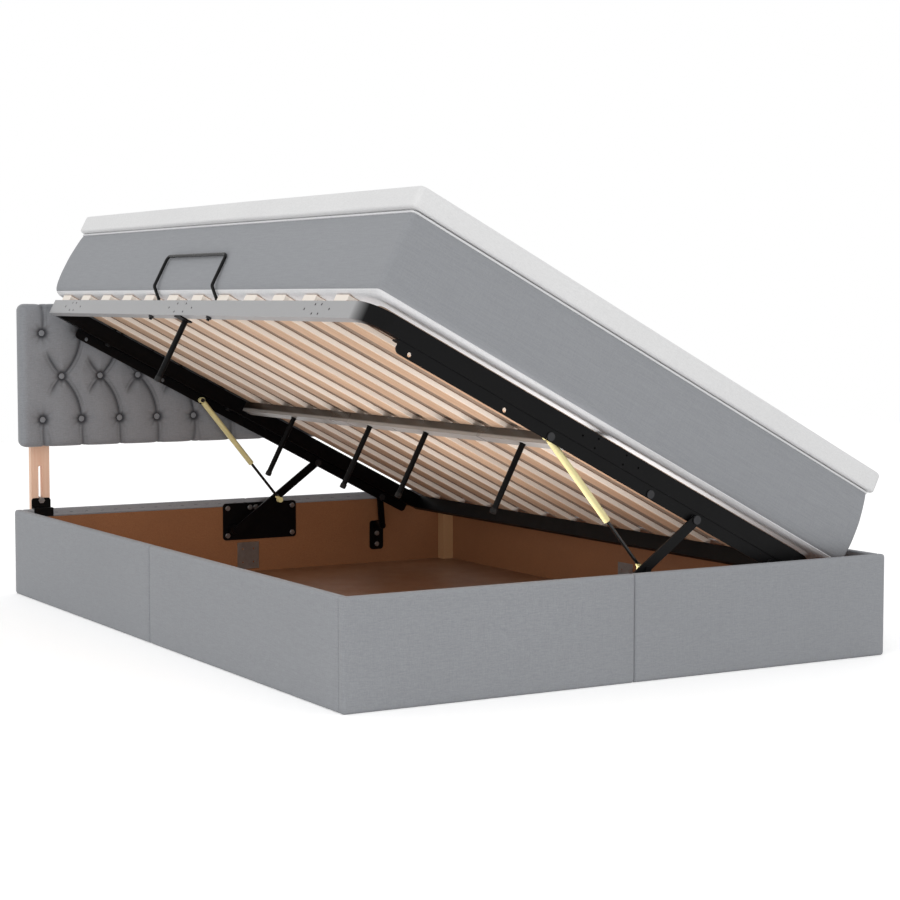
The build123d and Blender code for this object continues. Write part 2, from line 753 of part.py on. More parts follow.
# Bolts of the platform: those of the lift bars, the pivots, and the nuts under the retainer
with BuildPart() as platform_bolts:
    bolt_low = rail_high + bar_thick
    for bolt_u in bar_bolt_stations:
        head_plane = platform_plane(bolt_u, -rail_bolt_y, -bolt_low - bar_bolt_head)
        rod_between(head_plane, bar_bolt_head_radius, bar_bolt_head)
        rod_between(head_plane, bar_bolt_radius, bar_bolt_head + bar_thick + rail_wall * 3)
    arm_spot = (arm_top_x, arm_top_z)
    link_spot = (link_top_x, link_top_z)
    with BuildSketch(end_plane(bar_face)):
        with Locations(arm_spot, link_spot):
            Circle(pin_head_radius)
    extrude(amount=arm_gap - fit_gap)
    with BuildSketch(end_plane(bar_back - pin_head)):
        with Locations(arm_spot, link_spot):
            Circle(pin_head_radius)
    extrude(amount=pin_head)
    with BuildSketch(end_plane(bar_back)):
        with Locations(arm_spot, link_spot):
            Circle(pin_radius)
    extrude(amount=bar_thick)
    with BuildSketch(end_plane(bar_face)):
        with Locations(arm_spot):
            Circle(pin_radius)
    extrude(amount=arm_outer + 2 * fit_gap - bar_face)
    with BuildSketch(end_plane(arm_outer + fit_gap)):
        with Locations(arm_spot):
            Circle(pin_head_radius)
    extrude(amount=pin_head)
    strut_in = strut_y - strut_eye_thick / 2 - fit_gap
    strut_out = strut_y + strut_eye_thick / 2 + fit_gap
    strut_spot = (strut_top_x, strut_top_z)
    with BuildSketch(end_plane(strut_in)):
        with Locations(strut_spot):
            Circle(strut_bolt_radius)
    extrude(amount=bar_face - strut_in)
    for disc_start, disc_end, disc_radius in (
        (strut_in - pin_head, strut_in, strut_nut_radius),
        (strut_out, bar_back, strut_nut_radius),
        (bar_face, bar_face + pin_head, strut_bolt_head_radius),
    ):
        with BuildSketch(end_plane(disc_start)):
            with Locations(strut_spot):
                Circle(disc_radius)
        extrude(amount=disc_end - disc_start)
    stop_spot = platform_to_world(stop_bolt_at, -pin_drop)
    for disc_start, disc_end, disc_radius in (
        (bar_back - pin_head, bar_back, strut_bolt_head_radius),
        (bar_back, bar_face, strut_bolt_radius),
        (bar_face, bar_face + pin_head, strut_bolt_head_radius),
    ):
        with BuildSketch(end_plane(disc_start)):
            with Locations(stop_spot):
                Circle(disc_radius)
        extrude(amount=disc_end - disc_start)
    mirror(about=Plane.XZ)
    with BuildSketch(platform_plane(handle_foot_at, 0, -rail_high - fit_gap - handle_nut)):
        with Locations((0, handle_feet[0]), (0, handle_feet[1])):
            RegularPolygon(handle_nut_radius, 6)
            Circle(wire_radius + pin_clearance, mode=Mode.SUBTRACT)
    extrude(amount=handle_nut)
save(platform_bolts, "platform_bolts")


# Gas struts, from the lift bars down to the studs on the front arms
strut_length = hypot(stud_x - strut_top_x, stud_z - strut_top_z)
strut_along = Vector((stud_x - strut_top_x) / strut_length, 0, (stud_z - strut_top_z) / strut_length)


def strut_plane(distance):
    """A plane square to the strut, at a distance from its upper eye."""
    spot = Vector(strut_top_x, -strut_y, strut_top_z) + strut_along * distance
    return Plane(origin=spot, z_dir=strut_along)


def eye_plane(x, z):
    return Plane(origin=(x, -strut_y + strut_eye_thick / 2, z), z_dir=(0, -1, 0))


body_start = strut_eye_radius + fit_gap
with BuildPart() as strut_cylinder_foot:
    rod_between(strut_plane(body_start), strut_radius, strut_body_length - body_start)
    bore_start = body_start + strut_cap_length - strut_eye_radius
    bore_length = strut_body_length - strut_guide_length - bore_start
    rod_between(strut_plane(bore_start), strut_radius - strut_wall, bore_length, mode=Mode.SUBTRACT)
    guide_start = bore_start + bore_length / 2
    guide_length = strut_body_length - guide_start + cut_over
    rod_between(strut_plane(guide_start), rod_radius + rod_clearance, guide_length, mode=Mode.SUBTRACT)
    rod_between(eye_plane(strut_top_x, strut_top_z), strut_eye_radius, strut_eye_thick)
    rod_between(strut_plane(strut_eye_radius / 2), strut_neck_radius, strut_eye_radius)
    rod_between(
        eye_plane(strut_top_x, strut_top_z).offset(-cut_over),
        strut_bolt_radius + pin_clearance,
        strut_eye_thick + 2 * cut_over,
        mode=Mode.SUBTRACT,
    )
save(strut_cylinder_foot, "strut_cylinder_foot")

with BuildPart() as strut_cylinder_head:
    mirror(strut_cylinder_foot.part, about=Plane.XZ)
save(strut_cylinder_head, "strut_cylinder_head")

with BuildPart() as strut_rod_foot:
    piston_radius = strut_radius - strut_wall - piston_clearance
    rod_between(strut_plane(piston_start), piston_radius, piston_length)
    rod_between(strut_plane(piston_start), rod_radius, strut_length - piston_start - rod_end_radius / 2)
    sleeve_length = rod_sleeve_start - rod_end_radius / 2
    rod_between(strut_plane(strut_length - rod_sleeve_start), rod_sleeve_radius, sleeve_length)
    rod_between(eye_plane(stud_x, stud_z), rod_end_radius, strut_eye_thick)
save(strut_rod_foot, "strut_rod_foot")

with BuildPart() as strut_rod_head:
    mirror(strut_rod_foot.part, about=Plane.XZ)
save(strut_rod_head, "strut_rod_head")


# Mattress retainer: one bent wire with its feet through the raised rail
with BuildPart() as retainer_handle:
    foot_w = -rail_high - handle_under
    with BuildLine() as wire_path:
        FilletPolyline(
            *[
                platform.from_local_coords(point)
                for point in (
                    (handle_foot_at, handle_feet[0], foot_w),
                    (handle_foot_at, handle_feet[0], handle_foot_w),
                    (-handle_out, handle_feet[0], handle_knee_w),
                    (-handle_out, handle_feet[0], handle_top_w),
                    (-handle_out, handle_feet[1], handle_top_w),
                    (-handle_out, handle_feet[1], handle_knee_w),
                    (handle_foot_at, handle_feet[1], handle_foot_w),
                    (handle_foot_at, handle_feet[1], foot_w),
                )
            ],
            radius=(handle_bend, handle_bend, handle_corner, handle_corner, handle_bend, handle_bend),
        )
    with BuildSketch(platform_plane(handle_foot_at, handle_feet[0], foot_w)):
        Circle(wire_radius)
    sweep()
save(retainer_handle, "retainer_handle")


# Mattress and topper: rounded pads whose sides swell between drawn-in corners
def pad_section(centre_u, width, length, w, inset, corner, bulge):
    """A rounded outline with swelling sides, on a plane parallel to the platform."""
    half_u = width / 2 - inset - bulge
    half_y = length / 2 - inset - bulge
    cut = corner
    with BuildSketch(platform_plane(centre_u, 0, w)) as outline:
        with BuildLine():
            ThreePointArc((-half_u + cut, -half_y), (0, -half_y - bulge), (half_u - cut, -half_y))
            ThreePointArc(
                (half_u - cut, -half_y),
                (half_u - cut + cut * corner_share, -half_y + cut - cut * corner_share),
                (half_u, -half_y + cut),
            )
            ThreePointArc((half_u, -half_y + cut), (half_u + bulge, 0), (half_u, half_y - cut))
            ThreePointArc(
                (half_u, half_y - cut),
                (half_u - cut + cut * corner_share, half_y - cut + cut * corner_share),
                (half_u - cut, half_y),
            )
            ThreePointArc((half_u - cut, half_y), (0, half_y + bulge), (-half_u + cut, half_y))
            ThreePointArc(
                (-half_u + cut, half_y),
                (-half_u + cut - cut * corner_share, half_y - cut + cut * corner_share),
                (-half_u, half_y - cut),
            )
            ThreePointArc((-half_u, half_y - cut), (-half_u - bulge, 0), (-half_u, -half_y + cut))
            ThreePointArc(
                (-half_u, -half_y + cut),
                (-half_u + cut - cut * corner_share, -half_y + cut - cut * corner_share),
                (-half_u + cut, -half_y),
            )
        make_face()
    return outline.sketch.face()


pad_middle = mattress_width / 2 - mattress_overhang
mattress_base = slat_thick
with BuildPart() as mattress:
    loft(
        [
            pad_section(
                pad_middle,
                mattress_width,
                mattress_length,
                mattress_base + fit_gap + level * mattress_thick,
                inset * mattress_edge,
                mattress_corner,
                mattress_bulge,
            )
            for level, inset in zip(mattress_level_shares, mattress_inset_shares)
        ],
        ruled=True,
    )
save(mattress, "mattress")

topper_base = mattress_base + mattress_thick + 2 * fit_gap
topper_levels = [level * (topper_thick - topper_crown) for level in topper_level_shares]
topper_insets = [inset * topper_edge for inset in topper_inset_shares]
with BuildPart() as topper:
    loft(
        [
            pad_section(
                pad_middle,
                topper_width,
                topper_length,
                topper_base + level,
                inset,
                topper_corner,
                topper_bulge,
            )
            for level, inset in zip(topper_levels + [topper_thick], topper_insets + [topper_crown_inset])
        ],
        ruled=True,
    )
save(topper, "topper")


# Headboard: two slotted posts, a board, and a tufted pad with a button in every tuft
button_pitch = (headboard_width - 2 * button_side) / (max(button_counts) - 1)
half_pitch = button_pitch / 2
pad_top = headboard_bottom + headboard_high
post_bottom = slot_bottom - post_under
post_top = pad_top - post_top_gap
post_front = box_length / 2 + hook_thick + fit_gap
pad_back = post_front - fit_gap
board_front = post_front - backboard_thick


def button_spots():
    """Where the buttons stand, seen from the front."""
    spots = []
    for row, count in enumerate(button_counts):
        z = headboard_bottom + button_low_row + row * button_row_pitch
        spots += [((column - (count - 1) / 2) * button_pitch, z) for column in range(count)]
    return spots


def pad_outline(drawn_back, kind):
    """The pad cut upright: flat back, rounded edges, and a front that dips at tufts and pleats."""
    front = pad_back - pad_front_depth + drawn_back
    low_row = headboard_bottom + button_low_row
    dips = [
        (share * pad_front_round, dip * pad_front_round) for share, dip in zip(edge_shares, edge_dip_shares)
    ]
    dips.append((button_low_row * pleat_at_share, pleat_dip_shares[kind] * button_sink))
    points = [(pad_back, headboard_bottom)]
    points += [(front + dip, headboard_bottom + height) for height, dip in dips]
    points += [
        (front + share * button_sink, low_row + step * button_row_pitch / 2)
        for step, share in enumerate(tuft_dip_shares[kind])
    ]
    points += [(front + dip, pad_top - height) for height, dip in reversed(dips)]
    points.append((pad_back, pad_top))
    return points


def pad_columns():
    """Each upright section of the pad: its x, how far its front is drawn back, and its kind."""
    last = 2 * max(button_counts) - 1
    columns = [(quarter * half_pitch / 2, 0, quarter % 4) for quarter in range(-last, last + 1)]
    for share, dip in zip(reversed(edge_shares), reversed(edge_dip_shares)):
        x = headboard_width / 2 - share * pad_front_round
        columns.append((x, dip * pad_front_round, 1))
        columns.insert(0, (-x, dip * pad_front_round, 1))
    return columns


with BuildPart() as headboard_pad:
    for column_x, drawn_back, kind in pad_columns():
        with BuildSketch(Plane.YZ.offset(column_x)):
            with BuildLine():
                Polyline(*pad_outline(drawn_back, kind), close=True)
            make_face()
    loft(ruled=True)
    board_space = backboard_inset - fit_gap
    block(
        (-headboard_width / 2 + board_space, board_front - fit_gap, headboard_bottom + board_space),
        (headboard_width / 2 - board_space, pad_back + cut_over, pad_top - board_space),
        mode=Mode.SUBTRACT,
    )
    pocket_depth = button_sink + button_crown
    pocket_back = pad_back - pad_front_depth + pocket_depth
    with BuildSketch(end_plane(-pocket_back)):
        with Locations(*button_spots()):
            Circle(button_radius + fit_gap)
    extrude(amount=pocket_depth, mode=Mode.SUBTRACT)
save(headboard_pad, "headboard_pad")

with BuildPart() as headboard_buttons:
    with BuildSketch(end_plane(-pocket_back + fit_gap)):
        with Locations(*button_spots()):
            Circle(button_radius)
    extrude(amount=button_crown * 2)
    fillet(headboard_buttons.edges().group_by(Axis.Y)[0], button_crown)
save(headboard_buttons, "headboard_buttons")

with BuildPart() as headboard_board:
    block(
        (-headboard_width / 2 + backboard_inset, board_front, headboard_bottom + backboard_inset),
        (headboard_width / 2 - backboard_inset, post_front, pad_top - backboard_inset),
    )
save(headboard_board, "headboard_board")

for side_name, side in (("left", -1), ("right", 1)):
    with BuildPart() as headboard_post:
        with BuildSketch(end_plane(-post_front - post_thick)):
            with Locations((side * post_middle, (post_bottom + post_top) / 2)):
                Rectangle(post_width, post_top - post_bottom)
            with Locations((side * post_middle, (slot_bottom + slot_top) / 2)):
                SlotOverall(slot_top - slot_bottom, slot_width, rotation=90, mode=Mode.SUBTRACT)
        extrude(amount=post_thick)
    save(headboard_post, f"headboard_post_{side_name}")


# Brackets hooked over the head panels, and the bolts that clamp the posts at their height
with BuildPart() as one_bracket:
    hook_top = box_height + hook_thick
    with BuildSketch(Plane.YZ.offset(-hook_width / 2)):
        with BuildLine():
            Polyline(
                (inner_y - hook_thick, box_height - hook_down),
                (inner_y - hook_thick, hook_top),
                (box_length / 2, hook_top),
                (box_length / 2, box_height + hook_up),
                (box_length / 2 + hook_thick, box_height + hook_up),
                (box_length / 2 + hook_thick, box_height),
                (inner_y, box_height),
                (inner_y, box_height - hook_down),
                close=True,
            )
        make_face()
    extrude(amount=hook_width)
    fillet(one_bracket.edges().filter_by(Axis.Y).group_by(Axis.Z)[-1], hook_round)
    with BuildSketch(end_plane(-box_length / 2 - hook_thick - cut_over)):
        with Locations((0, clamp_bolt_z)):
            Circle(clamp_bolt_radius + fit_gap)
    extrude(amount=hook_thick + 2 * cut_over, mode=Mode.SUBTRACT)
with BuildPart() as headboard_brackets:
    with Locations((-post_middle, 0, 0), (post_middle, 0, 0)):
        add(one_bracket.part)
save(headboard_brackets, "headboard_brackets")

post_back = post_front + post_thick
with BuildPart() as clamp_bolts:
    for bolt_z, bolt_front in ((clamp_bolt_z, box_length / 2), (panel_bolt_z, inner_y - liner_thick)):
        spots = [(-post_middle, bolt_z), (post_middle, bolt_z)]
        with BuildSketch(end_plane(-post_back - clamp_head)):
            with Locations(*spots):
                Circle(clamp_head_radius)
        extrude(amount=clamp_head)
        with BuildSketch(end_plane(-post_back)):
            with Locations(*spots):
                Circle(clamp_bolt_radius)
        extrude(amount=post_back - bolt_front)
        with BuildSketch(end_plane(-bolt_front)):
            with Locations(*spots):
                RegularPolygon(clamp_nut_radius, 6)
        extrude(amount=clamp_nut)
save(clamp_bolts, "clamp_bolts")
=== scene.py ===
import math

import bpy
import numpy as np
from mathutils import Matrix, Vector


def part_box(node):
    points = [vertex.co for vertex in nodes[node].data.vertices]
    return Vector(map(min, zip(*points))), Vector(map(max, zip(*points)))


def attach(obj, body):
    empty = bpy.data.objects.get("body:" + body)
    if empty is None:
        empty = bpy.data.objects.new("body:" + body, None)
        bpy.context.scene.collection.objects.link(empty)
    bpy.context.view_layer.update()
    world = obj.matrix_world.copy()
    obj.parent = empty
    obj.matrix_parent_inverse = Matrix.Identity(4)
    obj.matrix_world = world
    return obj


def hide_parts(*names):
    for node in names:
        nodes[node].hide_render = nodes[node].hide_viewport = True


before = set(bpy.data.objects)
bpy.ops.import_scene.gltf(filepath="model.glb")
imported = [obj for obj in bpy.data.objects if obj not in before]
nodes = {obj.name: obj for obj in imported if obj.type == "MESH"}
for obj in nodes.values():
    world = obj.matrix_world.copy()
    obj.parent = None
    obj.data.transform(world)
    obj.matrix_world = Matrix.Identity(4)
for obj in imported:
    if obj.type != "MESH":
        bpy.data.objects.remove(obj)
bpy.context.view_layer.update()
scene = bpy.context.scene
print("frame loaded:", len(nodes), "nodes")


# The platform's own axes: u runs down across the bed, w stands up from the slats
platform = {"cornerX": -0.60952, "cornerZ": 0.83193, "tilt": math.radians(27.5)}
acrossDir = np.array([math.cos(platform["tilt"]), 0.0, -math.sin(platform["tilt"])])
upDir = np.array([math.sin(platform["tilt"]), 0.0, math.cos(platform["tilt"])])
platformCorner = np.array([platform["cornerX"], 0.0, platform["cornerZ"]])
lengthwise = np.array([0.0, 1.0, 0.0])
straightUp = np.array([0.0, 0.0, 1.0])


def platformToWorld(points):
    # corner of the platform plus u times the across axis, y as it is, plus w times the up axis
    u, y, w = (np.asarray(points, dtype=float)[..., k, None] for k in range(3))
    return platformCorner + u * acrossDir + y * lengthwise + w * upDir


# Mesh helpers
def meshObject(name, verts, faces, materials, body, slotName, faceMaterial=None):
    mesh = bpy.data.meshes.new(name)
    points = np.asarray(verts, dtype=float).reshape(-1, 3).tolist()
    mesh.from_pydata(points, [], [list(map(int, face)) for face in faces])
    for mat in materials:
        mesh.materials.append(mat)
    if faceMaterial is not None:
        mesh.polygons.foreach_set("material_index", np.asarray(faceMaterial, dtype=np.int32))
    mesh.polygons.foreach_set("use_smooth", np.ones(len(mesh.polygons), dtype=bool))
    mesh.update()
    obj = bpy.data.objects.new(name, mesh)
    scene.collection.objects.link(obj)
    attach(obj, body)
    return obj


def around(count):
    return np.linspace(0, 2 * math.pi, count, endpoint=False)


def gridFaces(rows, cols, wrapRows=False, wrapCols=False):
    # each quad joins point (i, j) to its neighbours along both parameters
    i = np.arange(rows if wrapRows else rows - 1)
    j = np.arange(cols if wrapCols else cols - 1)
    ii, jj = np.meshgrid(i, j, indexing="ij")
    a = ii * cols + jj
    b = ((ii + 1) % rows) * cols + jj
    c = ((ii + 1) % rows) * cols + (jj + 1) % cols
    d = ii * cols + (jj + 1) % cols
    return np.stack([a, b, c, d], axis=-1).reshape(-1, 4)


def closedRings(rings, flip=False):
    # rings joined one to the next, the first and the last each closed by a fan to its middle
    rows, cols = rings.shape[:2]
    poles = np.array([rings[0].mean(axis=0), rings[-1].mean(axis=0)])
    verts = np.vstack([rings.reshape(-1, 3), poles])
    j = np.arange(cols)
    after = (j + 1) % cols
    firstPole = np.full(cols, rows * cols)
    firstFan = np.stack([firstPole, j, after], axis=-1)
    lastRow = (rows - 1) * cols
    lastFan = np.stack([firstPole + 1, lastRow + after, lastRow + j], axis=-1)
    quads, fans = gridFaces(rows, cols, wrapCols=True), np.vstack([firstFan, lastFan])
    if flip:
        quads, fans = quads[:, ::-1], fans[:, ::-1]
    return verts, list(quads) + list(fans)


def joined(pieces):
    # several closed pieces, each as its points and faces, made into one
    starts = np.cumsum([0] + [len(verts) for verts, _ in pieces])
    faces = [face + start for (_, group), start in zip(pieces, starts) for face in group]
    return np.vstack([verts for verts, _ in pieces]), faces


def roundedOutline(halfA, halfB, corner, counts, cornerSteps=7):
    # a rounded rectangle: straight runs of counts[0] and counts[1] equal steps, joined by quarter circles;
    # also its outward normals and, for each point, how far along its straight run it lies, from -1 to 1
    points, normals, runs = [], [], []
    sides = [((1, 0), halfA, halfB), ((0, 1), halfB, halfA), ((-1, 0), halfA, halfB), ((0, -1), halfB, halfA)]
    for index, (along, halfRun, halfOut) in enumerate(sides):
        along = np.array(along, dtype=float)
        out = np.array([along[1], -along[0]])
        count = counts[index % 2]
        t = np.linspace(-1, 1, count + 1)
        straight = t[:, None] * (halfRun - corner) * along + halfOut * out
        points.append(straight)
        normals.append(np.repeat(out[None], count + 1, axis=0))
        runs.append(t)
        turn = np.linspace(0, math.pi / 2, cornerSteps + 1)[1:-1]
        arcOut = np.sin(turn)[:, None] * along + np.cos(turn)[:, None] * out
        points.append((halfRun - corner) * along + (halfOut - corner) * out + corner * arcOut)
        normals.append(arcOut)
        runs.append(np.ones(len(turn)))
    return np.vstack(points), np.vstack(normals), np.concatenate(runs)


def smoothNoise(x, y, seed):
    # a sum of sines in random directions, each set finer and fainter: smooth, and the same in every run
    rng = np.random.default_rng(seed)
    total = np.zeros(np.broadcast(x, y).shape)
    for k in range(3):
        angle = rng.uniform(0, 2 * math.pi, 4)
        phase = rng.uniform(0, 2 * math.pi, 4)
        for a, p in zip(angle, phase):
            total = total + np.sin((x * math.cos(a) + y * math.sin(a)) * 1.9 ** k + p) / 1.7 ** k
    return total / 6.0


def vertexMask(obj, name, values):
    attribute = obj.data.attributes.new(name, "FLOAT", "POINT")
    attribute.data.foreach_set("value", np.asarray(values, dtype=np.float32).ravel())


# Node helpers
def feed(tree, node, inputs):
    # an input takes a link when it is given a socket, and a plain value otherwise
    for key, value in inputs.items():
        if isinstance(value, bpy.types.NodeSocket):
            tree.links.new(value, node.inputs[key])
        else:
            node.inputs[key].default_value = value


def addNode(tree, kind, inputs=None, **settings):
    node = tree.nodes.new("ShaderNode" + kind)
    for key, value in settings.items():
        setattr(node, key, value)
    feed(tree, node, inputs or {})
    return node


def maths(tree, operation, first, second=0.0):
    return addNode(tree, "Math", {0: first, 1: second}, operation=operation).outputs[0]


def product(tree, *values):
    result = values[0]
    for value in values[1:]:
        result = maths(tree, "MULTIPLY", result, value)
    return result


def weighted(tree, first, share, second, otherShare):
    # first times its share plus second times its own
    return maths(tree, "ADD", product(tree, first, share), product(tree, second, otherShare))


def dot(tree, first, second):
    return addNode(tree, "VectorMath", {0: first, 1: second}, operation="DOT_PRODUCT").outputs["Value"]


def ramp(tree, value, low, high, toLow=0.0, toHigh=1.0):
    inputs = {"Value": value, "From Min": low, "From Max": high, "To Min": toLow, "To Max": toHigh}
    return addNode(tree, "MapRange", inputs).outputs[0]


def mixColor(tree, factor, first, second):
    return addNode(tree, "Mix", {0: factor, 6: first, 7: second}, data_type="RGBA").outputs[2]


def noiseAt(tree, vector, scale, detail=2.0, roughness=0.5, distortion=0.0):
    inputs = {"Vector": vector, "Scale": scale, "Detail": detail, "Roughness": roughness,
              "Distortion": distortion}
    return addNode(tree, "TexNoise", inputs).outputs["Fac"]


def stretched(tree, vector, spacing):
    # divides each coordinate by its own spacing, so that a noise of scale 1 has that grain size
    spacingNode = addNode(tree, "CombineXYZ", dict(enumerate(spacing))).outputs[0]
    return addNode(tree, "VectorMath", {0: vector, 1: spacingNode}, operation="DIVIDE").outputs[0]


def grainNoise(tree, vector, spacing, detail=1.0, roughness=0.5, distortion=0.0):
    return noiseAt(tree, stretched(tree, vector, spacing), 1.0, detail, roughness, distortion)


def bump(tree, height, strength, distance):
    return addNode(tree, "Bump", {"Height": height, "Strength": strength, "Distance": distance}).outputs[0]


def effectGroup(name, inputs, outputs):
    # a node group whose inputs have these defaults, None for the one vector; its outputs are single values
    group = bpy.data.node_groups.new(name, "ShaderNodeTree")
    for label, value in inputs.items():
        kind = "NodeSocketVector" if value is None else "NodeSocketFloat"
        socket = group.interface.new_socket(label, in_out="INPUT", socket_type=kind)
        if value is not None:
            socket.default_value = value
    for label in outputs:
        group.interface.new_socket(label, in_out="OUTPUT", socket_type="NodeSocketFloat")
    return group, group.nodes.new("NodeGroupInput").outputs, group.nodes.new("NodeGroupOutput")


def useGroup(tree, group, place, look):
    # each input of the group, apart from the vector, takes the look's value of the same name
    node = addNode(tree, "Group", {}, node_tree=group)
    feed(tree, node, {0: place, **{socket.name: look[socket.name] for socket in node.inputs[1:]}})
    return node.outputs


def masked(tree, color, group, place, look, over):
    # the colour with another one of the look over it, wherever the group's mask says so
    return mixColor(tree, useGroup(tree, group, place, look)["Mask"], color, look[over])


shaderSettings = {"sheen": "Sheen Weight", "shine": "Specular IOR Level", "coat": "Coat Weight",
                  "coatRough": "Coat Roughness", "metal": "Metallic"}


def finished(mat, look, color, rough, relief):
    # the material with its colour and roughness, its relief as height, strength and distance, and whatever
    # else the look sets
    tree = mat.node_tree
    others = {label: look[key] for key, label in shaderSettings.items() if key in look}
    feed(tree, tree.nodes["Principled BSDF"],
         {"Base Color": color, "Roughness": rough, "Normal": bump(tree, *relief), **others})
    return mat


def srgb(red, green, blue):
    # screen values 0 to 255 to linear light, by the sRGB curve
    channels = [value / 255 for value in (red, green, blue)]
    linear = [v / 12.92 if v <= 0.04045 else ((v + 0.055) / 1.055) ** 2.4 for v in channels]
    return (*linear, 1.0)


# Shared effects
def makeWeaveGroup():
    # plain weave: yarns stretched along each way, with thick slubs now and then
    inputs = {"Vector": None, "thread": 0.0011, "slub": 0.04}
    group, given, made = effectGroup("clothWeave", inputs, ("Height", "Tone"))
    place, thread, slub = given["Vector"], given["thread"], given["slub"]
    yarn = product(group, thread, 7.0)
    slubWidth = product(group, thread, 2.2)
    weft = grainNoise(group, place, (yarn, yarn, thread))
    warp = grainNoise(group, place, (thread, thread, yarn))
    slubs = grainNoise(group, place, (slub, slub, slubWidth), 2.0)
    ribs = grainNoise(group, place, (slubWidth, slubWidth, slub), 2.0)
    fine = maths(group, "ADD", weft, warp)
    coarse = weighted(group, slubs, 1.0, ribs, 0.6)
    tone = ramp(group, weighted(group, fine, 0.35, coarse, 0.4), 0.45, 0.90)
    feed(group, made, {"Height": weighted(group, fine, 0.45, coarse, 0.35), "Tone": tone})
    return group


def makeGrainGroup():
    # wood: long streaks along x, bent a little, with fine pores and slow bands
    inputs = {"Vector": None, "length": 0.35, "width": 0.006}
    group, given, made = effectGroup("woodGrain", inputs, ("Tone", "Height"))
    place, length, width = given["Vector"], given["length"], given["width"]
    streaks = grainNoise(group, place, (length, width, width), 3.0, 0.55, 0.6)
    poreWidth = product(group, width, 0.12)
    pores = grainNoise(group, place, (product(group, length, 0.06), poreWidth, poreWidth))
    bands = grainNoise(group, place, (1.2, 0.05, 0.05))
    tone = ramp(group, weighted(group, streaks, 0.6, bands, 0.4), 0.35, 0.65)
    feed(group, made, {"Tone": tone, "Height": weighted(group, streaks, 0.5, pores, 0.5)})
    return group


def makeWearGroup():
    # edges rubbed bright: where a rounded normal departs from the flat one, broken up by noise
    inputs = {"Vector": None, "wear": 0.6, "wearReach": 0.0012}
    group, given, made = effectGroup("edgeWear", inputs, ("Mask",))
    rounded = addNode(group, "Bevel", {"Radius": given["wearReach"]}, samples=4).outputs[0]
    facing = dot(group, rounded, addNode(group, "NewGeometry").outputs["Normal"])
    edge = ramp(group, maths(group, "SUBTRACT", 1.0, facing), 0.02, 0.25)
    patches = ramp(group, noiseAt(group, given["Vector"], 60.0, 3.0), 0.42, 0.66)
    feed(group, made, {"Mask": product(group, edge, patches, given["wear"])})
    return group


def makeCoatGroup():
    # sprayed finish: fine orange peel and slow changes of gloss
    group, given, made = effectGroup("sprayedCoat", {"Vector": None, "grain": 900.0}, ("Height", "Gloss"))
    feed(group, made, {"Height": noiseAt(group, given["Vector"], given["grain"], 2.0),
                       "Gloss": noiseAt(group, given["Vector"], 9.0, 3.0)})
    return group


def makeDustGroup():
    # fine dust on what faces up
    group, given, made = effectGroup("fineDust", {"Vector": None, "dusty": 0.3}, ("Mask",))
    normal = addNode(group, "NewGeometry").outputs["Normal"]
    up = ramp(group, addNode(group, "SeparateXYZ", {0: normal}).outputs["Z"], 0.3, 1.0)
    specks = ramp(group, noiseAt(group, given["Vector"], 35.0, 6.0, 0.7), 0.35, 0.75)
    feed(group, made, {"Mask": product(group, up, specks, given["dusty"])})
    return group


weaveGroup = makeWeaveGroup()
grainGroup = makeGrainGroup()
wearGroup = makeWearGroup()
coatGroup = makeCoatGroup()
dustGroup = makeDustGroup()
print("shared effects made")


def freshMaterial(name, turn=(0.0, 0.0, 0.0)):
    # a material, its tree and the object coordinates turned as asked
    mat = bpy.data.materials.new(name)
    mat.use_nodes = True
    tree = mat.node_tree
    place = addNode(tree, "TexCoord").outputs["Object"]
    if any(turn):
        place = addNode(tree, "Mapping", {"Vector": place, "Rotation": turn}).outputs[0]
    return mat, tree, place


alongPlatform = (0.0, -platform["tilt"], 0.0)


def clothMaterial(name, look, turn=(0.0, 0.0, 0.0), foldShadeMask=None):
    mat, tree, place = freshMaterial(name, turn)
    weave = useGroup(tree, weaveGroup, place, look)
    color = mixColor(tree, weave["Tone"], look["dark"], look["light"])
    blotches = ramp(tree, noiseAt(tree, place, 2.3, 3.0), 0.3, 0.7, 0.0, look["blotch"])
    color = mixColor(tree, blotches, color, look["shade"])
    # where a painted shade mask is given, the cloth turns towards the look's deep colour: painted shade
    if foldShadeMask:
        crease = addNode(tree, "Attribute", attribute_name=foldShadeMask).outputs["Fac"]
        color = mixColor(tree, crease, color, look["deep"])
    rough = ramp(tree, weave["Height"], 0.3, 0.9, look["rough"] - 0.06, look["rough"] + 0.06)
    return finished(mat, look, color, rough, (weave["Height"], look["bump"], look["thread"] * 0.5))


panelLook = {"dark": srgb(142, 144, 148), "light": srgb(166, 168, 172), "shade": srgb(146, 148, 152),
             "deep": srgb(90, 91, 95), "thread": 0.0008, "slub": 0.022, "blotch": 0.3, "rough": 0.86,
             "bump": 0.4, "sheen": 0.12, "shine": 0.25}
panelCloth = clothMaterial("panelCloth", panelLook)

# deep is the colour of the painted shade in the headboard's folds and round its buttons
headLook = dict(panelLook, dark=srgb(130, 132, 136), light=srgb(156, 158, 162), shade=srgb(134, 136, 140),
                deep=srgb(62, 63, 67), slub=0.02, bump=0.3, blotch=0.2, sheen=0.2)
headCloth = clothMaterial("headCloth", headLook, foldShadeMask="crease")

mattressLook = dict(panelLook, dark=srgb(144, 146, 150), light=srgb(162, 164, 168), shade=srgb(148, 150, 154),
                    thread=0.0009, slub=0.05, bump=0.25, blotch=0.2)
mattressCloth = clothMaterial("mattressCloth", mattressLook, alongPlatform)

borderLook = dict(mattressLook, dark=srgb(222, 222, 224), light=srgb(242, 242, 243),
                  shade=srgb(228, 228, 230), slub=0.01, bump=0.35, sheen=0.05)
borderCloth = clothMaterial("borderCloth", borderLook, alongPlatform)
